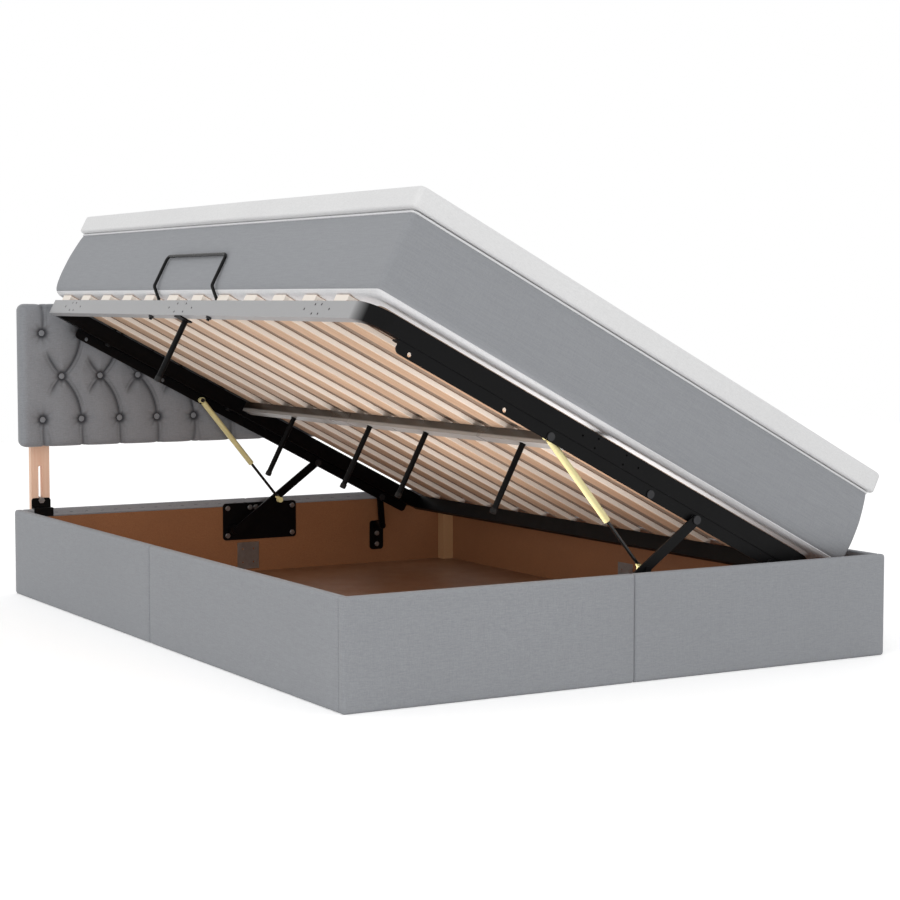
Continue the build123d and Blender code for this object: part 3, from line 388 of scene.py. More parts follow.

# the underside's brown tan is painted shade, standing in for the shade seen in the gaps between the slats
underShadeLook = dict(mattressLook, dark=srgb(126, 106, 90), light=srgb(150, 128, 110), shade=srgb(132, 112, 96),
                thread=0.0014, slub=0.02, bump=0.4)
baseCloth = clothMaterial("baseCloth", underShadeLook, alongPlatform)

topperLook = dict(borderLook, dark=srgb(228, 228, 228), light=srgb(244, 244, 244), shade=srgb(212, 212, 214),
                  bump=0.4, quiltPitch=0.045)
topperSide = clothMaterial("topperSide", topperLook, alongPlatform)


def quiltedMaterial(name, look, turn):
    # soft knit puffed between crossing rows of stitches: (|sin p| |sin q|) ^ 0.35, with p and q along the
    # two diagonals; the sunk stitch lines are darkened with painted shade
    mat, tree, place = freshMaterial(name, turn)
    weave = useGroup(tree, weaveGroup, place, look)
    parts = addNode(tree, "SeparateXYZ", {0: place}).outputs
    waves = []
    for operation in ("ADD", "SUBTRACT"):
        diagonal = product(tree, maths(tree, operation, parts["X"], parts["Y"]), math.pi / look["quiltPitch"])
        waves.append(maths(tree, "ABSOLUTE", maths(tree, "SINE", diagonal)))
    puff = maths(tree, "POWER", product(tree, *waves), 0.35)
    color = mixColor(tree, weave["Tone"], look["dark"], look["light"])
    # painted shade: the sunk stitch lines turn up to 0.35 of the way to the shade colour
    color = mixColor(tree, ramp(tree, puff, 0.0, 0.5, 0.35, 0.0), color, look["shade"])
    height = weighted(tree, puff, 1.0, weave["Height"], 0.12)
    return finished(mat, look, color, look["rough"], (height, 0.5, 0.0025))


topperTop = quiltedMaterial("topperTop", topperLook, alongPlatform)


def woodMaterial(name, look, turn):
    mat, tree, place = freshMaterial(name, turn)
    grain = useGroup(tree, grainGroup, place, look)
    color = mixColor(tree, grain["Tone"], look["dark"], look["light"])
    knots = ramp(tree, grainNoise(tree, place, look["knotSize"]), 0.66, 0.78)
    color = mixColor(tree, product(tree, knots, look["knots"]), color, look["knotColor"])
    # painted light: narrow sides, that look away from the way the broad faces look, take the look's edge
    # colour, which stands in for the light falling on them
    facing = dot(tree, addNode(tree, "TexCoord").outputs["Normal"], look["broad"])
    edge = ramp(tree, maths(tree, "ABSOLUTE", facing), 0.3, 0.7, 0.95, 0.0)
    color = mixColor(tree, edge, color, look["edge"])
    rough = ramp(tree, grain["Height"], 0.3, 0.7, look["rough"] + 0.08, look["rough"] - 0.08)
    return finished(mat, look, color, rough, (grain["Height"], look["bump"], 0.0008))


# the slats' pale cream edge colour is painted light on their narrow sides and ends
slatLook = {"dark": srgb(194, 160, 132), "light": srgb(216, 186, 158), "edge": srgb(250, 241, 230),
            "broad": tuple(upDir), "knotColor": srgb(180, 142, 108), "knotSize": (0.16, 0.05, 0.05),
            "length": 0.40, "width": 0.008, "knots": 0.35, "rough": 0.5, "bump": 0.25, "coat": 0.08,
            "coatRough": 0.35}
slatWood = woodMaterial("slatWood", slatLook, alongPlatform)

postLook = dict(slatLook, dark=srgb(240, 194, 166), light=srgb(250, 216, 192), edge=srgb(246, 206, 180),
                broad=(0.0, 1.0, 0.0), knotColor=srgb(160, 104, 74), length=0.3, width=0.007, knots=0.6,
                coat=0.0, rough=0.6)
postWood = woodMaterial("postWood", postLook, (0.0, math.radians(90), 0.0))

battenLook = dict(slatLook, dark=srgb(176, 132, 92), light=srgb(212, 172, 130), edge=srgb(190, 148, 106),
                  broad=(0.0, 0.0, 1.0), knotColor=srgb(120, 78, 46), coat=0.0, rough=0.7, bump=0.5,
                  knots=0.7)
battenWood = woodMaterial("battenWood", battenLook, (0.0, 0.0, math.radians(90)))
cornerWood = woodMaterial("cornerWood", battenLook, (0.0, math.radians(90), 0.0))


def hardboardMaterial(name, look):
    # pressed brown board: fine fibre flecks and a thin gloss
    mat, tree, place = freshMaterial(name)
    fibres = noiseAt(tree, place, 420.0, 4.0, 0.7, 0.8)
    clouds = noiseAt(tree, place, 6.0, 4.0, 0.6)
    color = mixColor(tree, ramp(tree, fibres, 0.3, 0.7), look["dark"], look["light"])
    color = mixColor(tree, ramp(tree, clouds, 0.35, 0.7, 0.0, 0.4), color, look["dark"])
    color = masked(tree, color, dustGroup, place, look, "dust")
    rough = ramp(tree, clouds, 0.3, 0.7, look["rough"] - 0.08, look["rough"] + 0.1)
    return finished(mat, look, color, rough, (fibres, 0.15, 0.0004))


linerLook = {"dark": srgb(134, 90, 60), "light": srgb(164, 112, 76), "dust": srgb(170, 150, 130),
             "dusty": 0.25, "rough": 0.42}
linerBoard = hardboardMaterial("linerBoard", linerLook)


def platformParts(tree):
    # a point's place along the platform's own axes, from its corner: X is u and Z is w
    corner = (-float(platformCorner @ acrossDir), 0.0, -float(platformCorner @ upDir))
    place = addNode(tree, "TexCoord").outputs["Object"]
    moved = addNode(tree, "Mapping", {"Vector": place, "Rotation": alongPlatform, "Location": corner})
    return addNode(tree, "SeparateXYZ", {0: moved.outputs[0]}).outputs


# The raised side's tube: the middle of its section, its inner half size and half its straight run. Its small
# holes come in groups of six: the middle of each, half the distance across its outer pair and across its two
# inner pairs, and the heights of the three rows
raisedTube = {"middle": (0.010, -0.020), "inside": (0.0092, 0.0192), "straight": 0.88,
              "groups": ((0.7790, 0.0564, 0.0142), (0.0300, 0.0696, 0.0265), (-0.7110, 0.0590, 0.0150)),
              "rows": (-0.0200, -0.0086, -0.0310), "holeRadius": 0.0030}


def insideTube(tree):
    # 1 where a point between the tube's bends lies deeper than its wall, by its distances along u and w;
    # these points inside the tube get painted shade
    parts = platformParts(tree)
    mask = maths(tree, "LESS_THAN", maths(tree, "ABSOLUTE", parts["Y"]), raisedTube["straight"])
    for axis, middle, half in zip("XZ", raisedTube["middle"], raisedTube["inside"]):
        within = addNode(tree, "Math", {0: parts[axis], 1: middle, 2: half}, operation="COMPARE")
        mask = product(tree, mask, within.outputs[0])
    return mask


def holeShadeDiscs(tree):
    # 1 within a hole's rim on the tube's outer side, by the least distance to a hole's middle: a disc of
    # painted shade for each hole
    parts = platformParts(tree)
    least = 1.0
    for middle, reach, pair in raisedTube["groups"]:
        away = maths(tree, "ABSOLUTE", maths(tree, "SUBTRACT", parts["Y"], middle))
        spot = addNode(tree, "CombineXYZ", {0: away, 1: parts["Z"]}).outputs[0]
        for across, row in zip((reach, pair, pair), raisedTube["rows"]):
            gap = addNode(tree, "VectorMath", {0: spot, 1: (across, row, 0.0)}, operation="DISTANCE")
            least = maths(tree, "MINIMUM", gap.outputs["Value"], least)
    facing = dot(tree, addNode(tree, "TexCoord").outputs["Normal"], tuple(-acrossDir))
    near = maths(tree, "LESS_THAN", least, raisedTube["holeRadius"])
    return product(tree, near, maths(tree, "GREATER_THAN", facing, 0.5))


def coatedMaterial(name, look):
    # sprayed steel: colour, orange peel, rubbed edges and a little dust; where the look asks, a fade to
    # another colour, painted shade in the tube's hollow and holes, and a band of painted reflection
    mat, tree, place = freshMaterial(name)
    coat = useGroup(tree, coatGroup, place, look)
    color = mixColor(tree, coat["Gloss"], look["dark"], look["light"])
    color = masked(tree, color, wearGroup, place, look, "bare")
    color = masked(tree, color, dustGroup, place, look, "dust")
    shine = look["shine"]
    # a fade along one axis: on the raised rail it ends the painted reflection, on the rods it is the real
    # colour of their fittings
    if "fade" in look:
        axis, low, high = look["fade"]
        along = addNode(tree, "SeparateXYZ", {0: place}).outputs[axis]
        color = mixColor(tree, ramp(tree, along, low, high), look["fadeTo"], color)
        shine = ramp(tree, along, low, high, look["fadeShine"], look["shine"])
    # painted shade: the tube's inside and a disc round each hole are painted near black
    if "hollow" in look:
        dark = maths(tree, "MAXIMUM", insideTube(tree), holeShadeDiscs(tree))
        color = mixColor(tree, dark, color, look["hollow"])
    # painted reflection: the sides above the bands' height are darkened as the slats' reflection
    if "bands" in look:
        height = platformParts(tree)["Z"]
        color = mixColor(tree, ramp(tree, height, *look["bands"]), color, look["upper"])
    rough = ramp(tree, coat["Gloss"], 0.3, 0.7, look["rough"] - 0.06, look["rough"] + 0.08)
    return finished(mat, dict(look, shine=shine), color, rough, (coat["Height"], 0.12, 0.0002))


blackLook = {"dark": srgb(4, 4, 5), "light": srgb(9, 9, 10), "bare": srgb(70, 70, 72),
             "dust": srgb(80, 78, 76), "grain": 900.0, "wear": 0.3, "wearReach": 0.0012, "dusty": 0.02,
             "rough": 0.45, "shine": 0.14, "fadeShine": 0.14}
blackSteel = coatedMaterial("blackSteel", blackLook)

# the raised rail is black steel painted grey as a reflection of the pale surround; the painted reflection
# fades to its black round the bend at the foot corner
railReflectionLook = dict(blackLook, dark=srgb(160, 160, 161), light=srgb(172, 172, 173), bare=srgb(200, 200, 202),
                fade=("Y", -0.918, -0.874), fadeTo=srgb(6, 6, 7), hollow=srgb(6, 6, 6), rough=0.38, shine=0.4)
railGrey = coatedMaterial("railGrey", railReflectionLook)

# the middle tube is grey; the dark upper half of its sides is a painted reflection of the slats above it
tubeLook = dict(blackLook, dark=srgb(150, 148, 145), light=srgb(172, 170, 167), bare=srgb(200, 200, 200),
                rough=0.3, wear=0.2, shine=0.5, bands=(-0.0215, -0.0175), upper=srgb(38, 32, 27))
tubeGrey = coatedMaterial("tubeGrey", tubeLook)

strutLook = dict(blackLook, dark=srgb(222, 208, 146), light=srgb(240, 230, 176), bare=srgb(160, 150, 118),
                 rough=0.35, wear=0.2, shine=0.5)
strutPaint = coatedMaterial("strutPaint", strutLook)

wireLook = dict(blackLook, dark=srgb(8, 8, 9), light=srgb(20, 20, 21), rough=0.3, wear=0.2, shine=0.2)
wireBlack = coatedMaterial("wireBlack", wireLook)

# the rods are black, with the pale yellow of the cylinders on their lower end fittings
rodLook = dict(blackLook, dark=srgb(12, 12, 12), light=srgb(20, 20, 20), rough=0.25, wear=0.2, shine=0.5,
               fade=("Z", 0.2470, 0.2486), fadeTo=srgb(232, 220, 160))
rodBlack = coatedMaterial("rodBlack", rodLook)


def platedMaterial(name, look):
    # zinc plated steel: metal with faint crystals and slow changes of gloss
    mat, tree, place = freshMaterial(name)
    crystals = addNode(tree, "TexVoronoi", {"Vector": place, "Scale": 700.0}).outputs["Distance"]
    clouds = noiseAt(tree, place, 80.0, 3.0)
    color = mixColor(tree, clouds, look["dark"], look["light"])
    color = masked(tree, color, wearGroup, place, look, "bare")
    rough = ramp(tree, clouds, 0.3, 0.7, look["rough"] - 0.08, look["rough"] + 0.1)
    return finished(mat, look, color, rough, (crystals, 0.08, 0.0002))


platedLook = {"dark": srgb(150, 151, 153), "light": srgb(186, 187, 188), "bare": srgb(214, 214, 214),
              "metal": 0.9, "rough": 0.38, "wear": 0.4, "wearReach": 0.0008}
platedSteel = platedMaterial("platedSteel", platedLook)
darkLook = dict(platedLook, dark=srgb(38, 38, 40), light=srgb(60, 60, 62), bare=srgb(120, 120, 122),
                metal=0.6)
darkBolt = platedMaterial("darkBolt", darkLook)
stapleLook = dict(darkLook, dark=srgb(60, 62, 66), light=srgb(96, 98, 102))
stapleSteel = platedMaterial("stapleSteel", stapleLook)


def particleMaterial(name, look):
    # raw particle board: flat chips of several tans
    mat, tree, place = freshMaterial(name)
    chips = addNode(tree, "TexVoronoi", {"Vector": stretched(tree, place, look["chip"]), "Scale": 1.0})
    tone = addNode(tree, "SeparateColor", {0: chips.outputs["Color"]}).outputs[0]
    color = mixColor(tree, tone, look["dark"], look["light"])
    return finished(mat, look, color, look["rough"], (tone, 0.3, 0.0005))


def rubberMaterial(name, look):
    mat, tree, place = freshMaterial(name)
    scuffs = noiseAt(tree, place, 240.0, 4.0, 0.6)
    color = mixColor(tree, ramp(tree, scuffs, 0.4, 0.75), look["dark"], look["light"])
    return finished(mat, look, color, look["rough"], (scuffs, 0.2, 0.0004))


boardLook = {"dark": srgb(150, 116, 82), "light": srgb(206, 174, 134), "chip": (0.006, 0.002, 0.003),
             "rough": 0.8}
particleBoard = particleMaterial("particleBoard", boardLook)
rubberLook = {"dark": srgb(10, 10, 10), "light": srgb(26, 26, 26), "rough": 0.75}
footRubber = rubberMaterial("footRubber", rubberLook)
print("materials made")


# CAD pieces whose shape stays: only their finish changes
finishes = {slatWood: ("slat_",), postWood: ("headboard_post_",), particleBoard: ("headboard_board",),
            linerBoard: ("liner_", "floor_boards"), battenWood: ("floor_battens",),
            cornerWood: ("corner_posts",), railGrey: ("raised_rail",), tubeGrey: ("middle_tube",),
            blackSteel: ("hinge_rail", "foot_rail", "head_rail", "support_legs", "lift_bar_", "front_arm_",
                         "rear_link_", "base_plate_", "rear_brackets", "headboard_brackets"),
            platedSteel: ("joining_plates", "base_bolts", "clamp_bolts"), darkBolt: ("platform_bolts",),
            wireBlack: ("retainer_handle",), footRubber: ("leg_caps",), strutPaint: ("strut_cylinder_",),
            rodBlack: ("strut_rod_",)}
for mat, starts in finishes.items():
    for name, obj in nodes.items():
        if name.startswith(starts):
            for slot in obj.material_slots:
                slot.material = mat
print("kept pieces finished")


# Padded panels: board, thin foam and stretched cloth, with soft outer edges
panel = {"step": 0.012, "corner": 0.006, "outerRound": 0.007, "innerRound": 0.003, "crown": 0.0016,
         "ripple": 0.0003, "frontRings": 18, "backRings": 5, "leastShare": 0.04, "fill": 0.95}


def paddedPanel(name, axisThin):
    # outline inset and depth for each ring: flat inner face, rounded rim, then an outer face crowned by
    # crown times (1 - a^4) times (1 - b^4)
    low, high = (np.array(v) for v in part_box(name))
    middle, half = (low + high) / 2, (high - low) / 2
    axisLong = 1 - axisThin
    outward = math.copysign(1.0, middle[axisThin])
    thick = 2 * half[axisThin]
    inner, outer = panel["innerRound"], panel["outerRound"]
    quarter = np.linspace(0, math.pi / 2, 6)
    levels = [(s, inner, 0.0) for s in np.linspace(panel["leastShare"], 1.0, panel["backRings"])[:-1]]
    levels += [(1.0, inner * (1 - math.sin(q)), inner * (1 - math.cos(q))) for q in quarter]
    levels += [(1.0, outer * (1 - math.cos(q)), thick - outer * (1 - math.sin(q))) for q in quarter]
    levels += [(s, outer, thick) for s in np.linspace(1.0, panel["leastShare"], panel["frontRings"])[1:]]
    halfA, halfB = half[axisLong], half[2]
    counts = (int(2 * halfA / panel["step"]), int(2 * halfB / panel["step"]))
    rings = []
    for share, inset, depth in levels:
        outline, _, _ = roundedOutline(halfA - inset, halfB - inset, panel["corner"], counts)
        a, b = (outline * share).T
        swell = (1 - (a / halfA) ** 4) * (1 - (b / halfB) ** 4)
        ripple = panel["ripple"] * smoothNoise(a * 9 + middle[axisLong] * 9, b * 16, 3)
        raised = swell * (panel["crown"] + ripple) if depth >= thick else 0.0
        ring = np.zeros((len(a), 3))
        ring[:, axisLong] = middle[axisLong] + a
        ring[:, 2] = middle[2] + b
        ring[:, axisThin] = middle[axisThin] + outward * (depth - thick / 2 + raised)
        rings.append(ring)
    verts, faces = closedRings(np.array(rings), flip=(outward > 0) == (axisThin == 0))
    obj = meshObject(name + "_cloth", verts, faces, [panelCloth], "box", "panel_fabric")
    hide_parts(name)


panelNames = {0: ["side_panel_left_foot", "side_panel_left_head", "side_panel_right_foot",
                  "side_panel_right_head"],
              1: ["foot_panel_left", "foot_panel_right", "head_panel_left", "head_panel_right"]}
for axis, names in panelNames.items():
    for name in names:
        paddedPanel(name, axis)
print("panels made")


# The cloth turned over the rim: a folded band on the inner face of each side, held by staples
band = {"high": 0.0205, "under": 0.0012, "thick": 0.0011, "hem": 0.0022, "step": 0.010, "wave": 0.0012,
        "ripple": 0.0003, "ends": 0.004, "gap": 0.0001, "fill": 0.3}
staple = {"ends": 0.02, "pitch": 0.042, "stray": 0.008, "lean": 0.25, "long": 0.011, "thick": 0.0005,
          "drop": 0.011, "dropStray": 0.001, "arch": 0.0006, "sunk": 0.0004}


def innerSides():
    # start at the rim, direction, inward normal and length of the four inner faces
    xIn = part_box("side_panel_right_foot")[0][0]
    yIn = -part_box("foot_panel_right")[1][1]
    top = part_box("foot_panel_left")[1][2]
    sides = [((-xIn, -yIn, top), (0.0, 1.0, 0.0), (1.0, 0.0, 0.0), 2 * yIn),
             ((xIn, yIn, top), (0.0, -1.0, 0.0), (-1.0, 0.0, 0.0), 2 * yIn),
             ((xIn, -yIn, top), (-1.0, 0.0, 0.0), (0.0, 1.0, 0.0), 2 * xIn),
             ((-xIn, yIn, top), (1.0, 0.0, 0.0), (0.0, -1.0, 0.0), 2 * xIn)]
    return [(*map(np.array, side[:3]), side[3]) for side in sides]


def wrapBand():
    # a thin closed profile carried along each inner face; its lower hem waves by smooth noise
    turn = around(14)
    # 0 at the top of the band, 1 at its hem
    share = (1 - np.cos(turn)) / 2
    thickness = band["thick"] + (band["hem"] - band["thick"]) * share ** 6
    bands = []
    for index, (start, along, inward, length) in enumerate(innerSides()):
        stations = np.linspace(band["ends"], length - band["ends"], int(length / band["step"]))
        hemWave = band["wave"] * smoothNoise(stations * 14, stations * 0, 20 + index)
        drop = band["under"] + share[None, :] * (band["high"] - band["under"] + hemWave[:, None])
        out = np.clip(np.sin(turn) * 3, -1, 1) * thickness / 2 + thickness / 2 + band["gap"]
        ripple = band["ripple"] * smoothNoise(stations[:, None] * 40, share[None, :] * 3, 31 + index)
        inwardBy = out[None, :] + np.where(np.sin(turn)[None, :] > 0.05, np.abs(ripple), 0.0)
        rings = (start + stations[:, None, None] * along + inwardBy[..., None] * inward
                 - drop[..., None] * straightUp)
        bands.append(closedRings(rings, flip=True))
    obj = meshObject("wrap_band", *joined(bands), [panelCloth], "box", "panel_fabric")


def staples():
    # short round wires across the band, each turned a little, sunk at both ends
    rng = np.random.default_rng(7)
    ring = around(6)
    t = np.linspace(-1, 1, 7)
    inBy = band["thick"] + band["gap"] + (staple["arch"] * (1 - t ** 4) - staple["sunk"])
    wires = []
    for start, along, inward, length in innerSides():
        places = np.arange(staple["ends"], length - staple["ends"], staple["pitch"])
        places = places + rng.uniform(-staple["stray"], staple["stray"], len(places))
        for place in places:
            lean = rng.uniform(-staple["lean"], staple["lean"])
            drop = staple["drop"] + rng.uniform(-staple["dropStray"], staple["dropStray"])
            alongBy = place + t * staple["long"] / 2 * math.cos(lean)
            downBy = drop + t * staple["long"] / 2 * math.sin(lean)
            centre = (start + alongBy[:, None] * along + inBy[:, None] * inward
                      - downBy[:, None] * straightUp)
            section = (staple["thick"] * np.cos(ring)[:, None] * inward
                       + staple["thick"] * np.sin(ring)[:, None] * straightUp)
            wires.append(closedRings(centre[:, None, :] + section))
    meshObject("staples", *joined(wires), [stapleSteel], "box", "plated_steel")


wrapBand()
staples()
print("band and staples made")


# Mattress: a pad with a convex grey side, a white border that rolls under, and piping round its top edge. At
# each of its heights the side is drawn in from the outline by the inset
mattress = {"middleU": 0.685, "width": 1.400, "length": 1.944, "low": 0.0153, "thick": 0.192, "fill": 0.95,
            "corner": 0.012, "sideBow": 0.0005, "pipe": 0.0026, "step": 0.014, "borderHigh": 0.0105,
            "dent": 0.0016, "dentWide": 0.0012, "topRoll": 0.004, "soft": 0.0009, "drawnIn": 0.0009,
            "pipeInset": 0.0092, "pipeStep": 0.010,
            "heights": (0.0, 0.003, 0.0096, 0.018, 0.033, 0.060, 0.086, 0.115, 0.144, 0.168, 0.183, 0.190,
                        0.192),
            "insets": (0.026, 0.0155, 0.0078, 0.0044, 0.0016, 0.0, 0.0, 0.0006, 0.0030, 0.0056, 0.0080,
                       0.0100, 0.0145)}


def padOutline(size, inset, step):
    # the rounded rectangle, its straight runs swelling outwards by the bow times (1 - t squared)
    bow = size["sideBow"]
    counts = (int(size["width"] / step), int(size["length"] / step))
    outline, normals, runs = roundedOutline(size["width"] / 2 - bow - inset, size["length"] / 2 - bow - inset,
                                            size["corner"], counts, 10)
    return outline + normals * (bow * (1 - runs ** 2))[:, None], normals


def outlineToWorld(size, outline, w):
    heights = np.broadcast_to(w, len(outline))
    return platformToWorld(np.column_stack([outline[:, 0] + size["middleU"], outline[:, 1], heights]))


def mattressLevels():
    # from the middle of the underside, up the white roll and the convex side, then in over the top; the inset
    # at each height is read from the two lists, with a small dent at the seam between the two cloths
    seam, thick, insets = mattress["borderHigh"], mattress["thick"], mattress["insets"]
    rise = np.unique(np.concatenate([np.linspace(0, seam, 9), np.linspace(seam, thick - 0.012, 20),
                                     seam + np.array([-0.0022, -0.0008, 0.0008, 0.0022]),
                                     np.linspace(thick - 0.010, thick, 8)]))
    dent = mattress["dent"] * np.exp(-((rise - seam) / mattress["dentWide"]) ** 2)
    profile = np.interp(rise, mattress["heights"], insets) + dent
    levels = [(share, insets[0], 0.0, 2) for share in (0.03, 0.3, 0.6, 0.85, 0.94)]
    levels.append((0.985, insets[0], 0.0, 1))
    levels += [(1.0, inset, w, 1 if w <= seam or w > thick - mattress["topRoll"] else 0)
               for w, inset in zip(rise, profile)]
    levels += [(share, insets[-1], thick, 1) for share in (0.97, 0.85, 0.6, 0.3, 0.03)]
    return levels


def softPad(name, rings, kinds, cloths, slotName, replaced):
    # the rings closed into one body: each band of faces has the cloth of the ring that ends it, and each of
    # the two middles has that of the ring round it
    cols = rings[0].shape[0]
    verts, faces = closedRings(np.array(rings), flip=True)
    perFace = np.repeat([*kinds[1:], kinds[0], kinds[-1]], cols)
    obj = meshObject(name, verts, faces, cloths, "platform", slotName, perFace)
    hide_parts(replaced)


def makeMattress():
    # cloths by number: 0 the side, 1 the border, 2 the underside, painted brown tan as shade
    rings, kinds = [], []
    for share, inset, w, kind in mattressLevels():
        outline, normals = padOutline(mattress, inset, mattress["step"])
        soft = mattress["soft"] * smoothNoise(outline[:, 0] * 7, outline[:, 1] * 7 + w * 18, 11)
        push = soft * (share == 1.0) - mattress["drawnIn"]
        outline = share * (outline + normals * push[:, None])
        rings.append(outlineToWorld(mattress, outline, mattress["low"] + w))
        kinds.append(kind)
    cloths = [mattressCloth, borderCloth, baseCloth]
    softPad("mattress_body", rings, kinds, cloths, "mattress_fabric", "mattress")


def makePiping():
    # a round cord laid along the top edge: a circle in the plane of the outline's normal and the up axis
    outline, normals = padOutline(mattress, mattress["pipeInset"], mattress["pipeStep"])
    turn = around(8)
    flat = outline[:, None, :] + mattress["pipe"] * np.cos(turn)[None, :, None] * normals[:, None, :]
    middle = mattress["low"] + mattress["thick"] - mattress["topRoll"]
    heights = np.broadcast_to(middle + mattress["pipe"] * np.sin(turn), flat.shape[:2])
    points = np.concatenate([flat + np.array([mattress["middleU"], 0.0]), heights[..., None]], axis=-1)
    faces = gridFaces(len(outline), len(turn), wrapRows=True, wrapCols=True)
    verts = platformToWorld(points)
    meshObject("mattress_piping", verts, faces, [borderCloth], "platform", "mattress_fabric")


makeMattress()
makePiping()
print("mattress made")


# Topper: a soft white slab whose lower edge waves, with a quilted top
topper = {"middleU": 0.685, "width": 1.410, "length": 1.948, "low": 0.2076, "thick": 0.055, "corner": 0.014,
          "sideBow": 0.0015, "roundLow": 0.006, "roundHigh": 0.009, "crown": 0.003, "wave": 0.0022,
          "step": 0.014, "soft": 0.0010, "drawnIn": 0.0011, "quiltTurn": 0.9, "fill": 0.9}


def topperLevels():
    # inset and height round the slab: under, lower round, side, upper round, then in over the crowned top
    low, upper = topper["roundLow"], topper["roundHigh"]
    high = topper["thick"] - topper["crown"]
    levels = [(share, low, 0.0, 0) for share in (0.03, 0.5, 0.9, 0.98)]
    for q in np.linspace(0, math.pi / 2, 7):
        levels.append((1.0, low * (1 - math.sin(q)), low * (1 - math.cos(q)), 0))
    levels += [(1.0, 0.0, w, 0) for w in np.linspace(low + 0.004, high - upper - 0.003, 4)]
    for q in np.linspace(0, math.pi / 2, 8):
        kind = 0 if q < topper["quiltTurn"] else 1
        levels.append((1.0, upper * (1 - math.cos(q)), high - upper * (1 - math.sin(q)), kind))
    levels += [(share, upper, high, 1) for share in np.linspace(0.985, 0.03, 22)]
    return levels


def makeTopper():
    # cloths by number: 0 the side and the underside, 1 the quilted top
    rings, kinds = [], []
    for share, inset, w, kind in topperLevels():
        outline, normals = padOutline(topper, inset, topper["step"])
        x, y = outline.T
        edgeWave = smoothNoise(x * 8, y * 8, 41)
        low = w < topper["thick"] / 2
        height = w + (topper["wave"] * (0.5 + 0.5 * edgeWave) * (share > 0.9) if low else 0.0)
        push = topper["soft"] * smoothNoise(x * 10, y * 10 + w * 30, 43) * (share == 1.0) - topper["drawnIn"]
        flat = share * (outline + normals * push[:, None])
        if not low:
            height = height + topper["crown"] * (1 - share ** 2) * 0.8
        rings.append(outlineToWorld(topper, flat, topper["low"] + height))
        kinds.append(kind)
    softPad("topper_body", rings, kinds, [topperSide, topperTop], "topper_fabric", "topper")


makeTopper()
print("topper made")


# Headboard pad: deep buttoned, with folds running from button to button and pleats to both edges, and painted
# shade along the folds and round the buttons
head = {"halfWide": 0.700, "low": 0.416, "high": 0.405, "back": 1.018, "depth": 0.0414, "edgeRound": 0.020,
        "buttonSide": 0.06475, "rowPitch": 0.1227, "lowRow": 0.077, "counts": (12, 11, 12), "sink": 0.021,
        "foldDepth": 0.0100, "foldWide": 0.030, "foldSharp": 0.0030, "curve": 0.013, "step": 0.0032,
        "besideOff": 0.0095, "besideWide": 0.0030, "besideDepth": 0.0016, "leastDepth": 0.010,
        "wellReach": 0.020, "rays": 9, "rayDepth": 0.0012, "rayWide": 0.012, "soft": 0.0008,
        "drawnIn": 0.0009, "cornerRound": 0.020, "scallop": 0.0055, "pocket": 0.0097, "pocketDeep": 0.0147,
        "scallopWide": 0.03, "rimShallow": 0.012, "fadeRun": 0.25, "nearButton": 0.09, "haloCore": 0.0165,
        "haloWide": 0.030, "fill": 0.85}
head["pitch"] = 2 * (head["halfWide"] - head["buttonSide"]) / (max(head["counts"]) - 1)


def buttonSpots():
    # rows of buttons, the middle row half a pitch across from the others
    rows = []
    for row, count in enumerate(head["counts"]):
        x = (np.arange(count) - (count - 1) / 2) * head["pitch"]
        z = head["low"] + head["lowRow"] + row * head["rowPitch"]
        rows.append(np.column_stack([x, np.full(count, z)]))
    return rows


def foldLines():
    # the folds as start, end, bow, weight and reach, the share of the run at which a fold dies out: diagonals
    # between rows, full on one side of a button and shorter on the other, then short pleats to both edges
    low, middle, high = buttonSpots()
    rng = np.random.default_rng(12)
    lines = []
    for k, spot in enumerate(middle):
        lines.append((spot, low[k], -head["curve"], 0.8, rng.uniform(0.5, 0.62)))
        lines.append((spot, low[k + 1], head["curve"], 1.0, 1.2))
        lines.append((spot, high[k], head["curve"], 0.9, rng.uniform(0.55, 0.7)))
        lines.append((spot, high[k + 1], -head["curve"], 1.0, 1.2))
    bottom, top = head["low"], head["low"] + head["high"]
    for row, edge, other in ((low, bottom, 1), (high, top, -1)):
        for spot in row:
            for lean, weight in ((rng.uniform(-0.004, 0.004), 0.7), (rng.uniform(0.010, 0.022), 0.3)):
                end = np.array([spot[0] + lean, edge])
                lines.append((spot, end, rng.uniform(-0.004, 0.004), weight, 1.2))
            stub = spot + np.array([rng.uniform(-0.012, -0.004), other * 0.05])
            lines.append((spot, stub, 0.002, 0.5, 0.6))
    return lines


def foldEffect(x, z, line):
    # depth and painted shade of one fold: a sharp groove plus a wide roll-off, steeper on its hollow side,
    # with a second fainter crease beside it; both die out past the fold's reach, the painted shade darkest
    # along the groove
    start, end, bow, weight, reach = line
    run = end - start
    length = math.hypot(*run)
    run = run / length
    side = np.array([-run[1], run[0]])
    along = (x - start[0]) * run[0] + (z - start[1]) * run[1]
    t = np.clip(along / length, 0.0, 1.0)
    off = (x - start[0]) * side[0] + (z - start[1]) * side[1] - bow * 4 * t * (1 - t)
    past = np.maximum(0.0, np.maximum(-along, along - length))
    distance = np.hypot(off, past)
    fade = weight * np.clip((reach - t) / head["fadeRun"], 0.0, 1.0)
    deep = head["foldDepth"] * fade * (1 + 0.5 * (2 * t - 1) ** 2)
    hollow = np.where(off * math.copysign(1, bow) > 0, 1.0, 0.45)
    wide = np.exp(-(distance / head["foldWide"]) ** 1.6)
    sharp = np.exp(-(distance / (head["foldSharp"] / hollow)) ** 1.3)
    beside = (off - math.copysign(head["besideOff"], bow)) / head["besideWide"]
    second = np.exp(-beside ** 2) * (past == 0) * fade * np.clip(1.4 - 1.6 * np.abs(t - 0.35), 0, 1)
    drop = deep * (0.62 * wide + 0.38 * sharp) + head["besideDepth"] * second
    return drop, np.maximum(fade * (0.85 * sharp + 0.16 * wide), 0.45 * second)


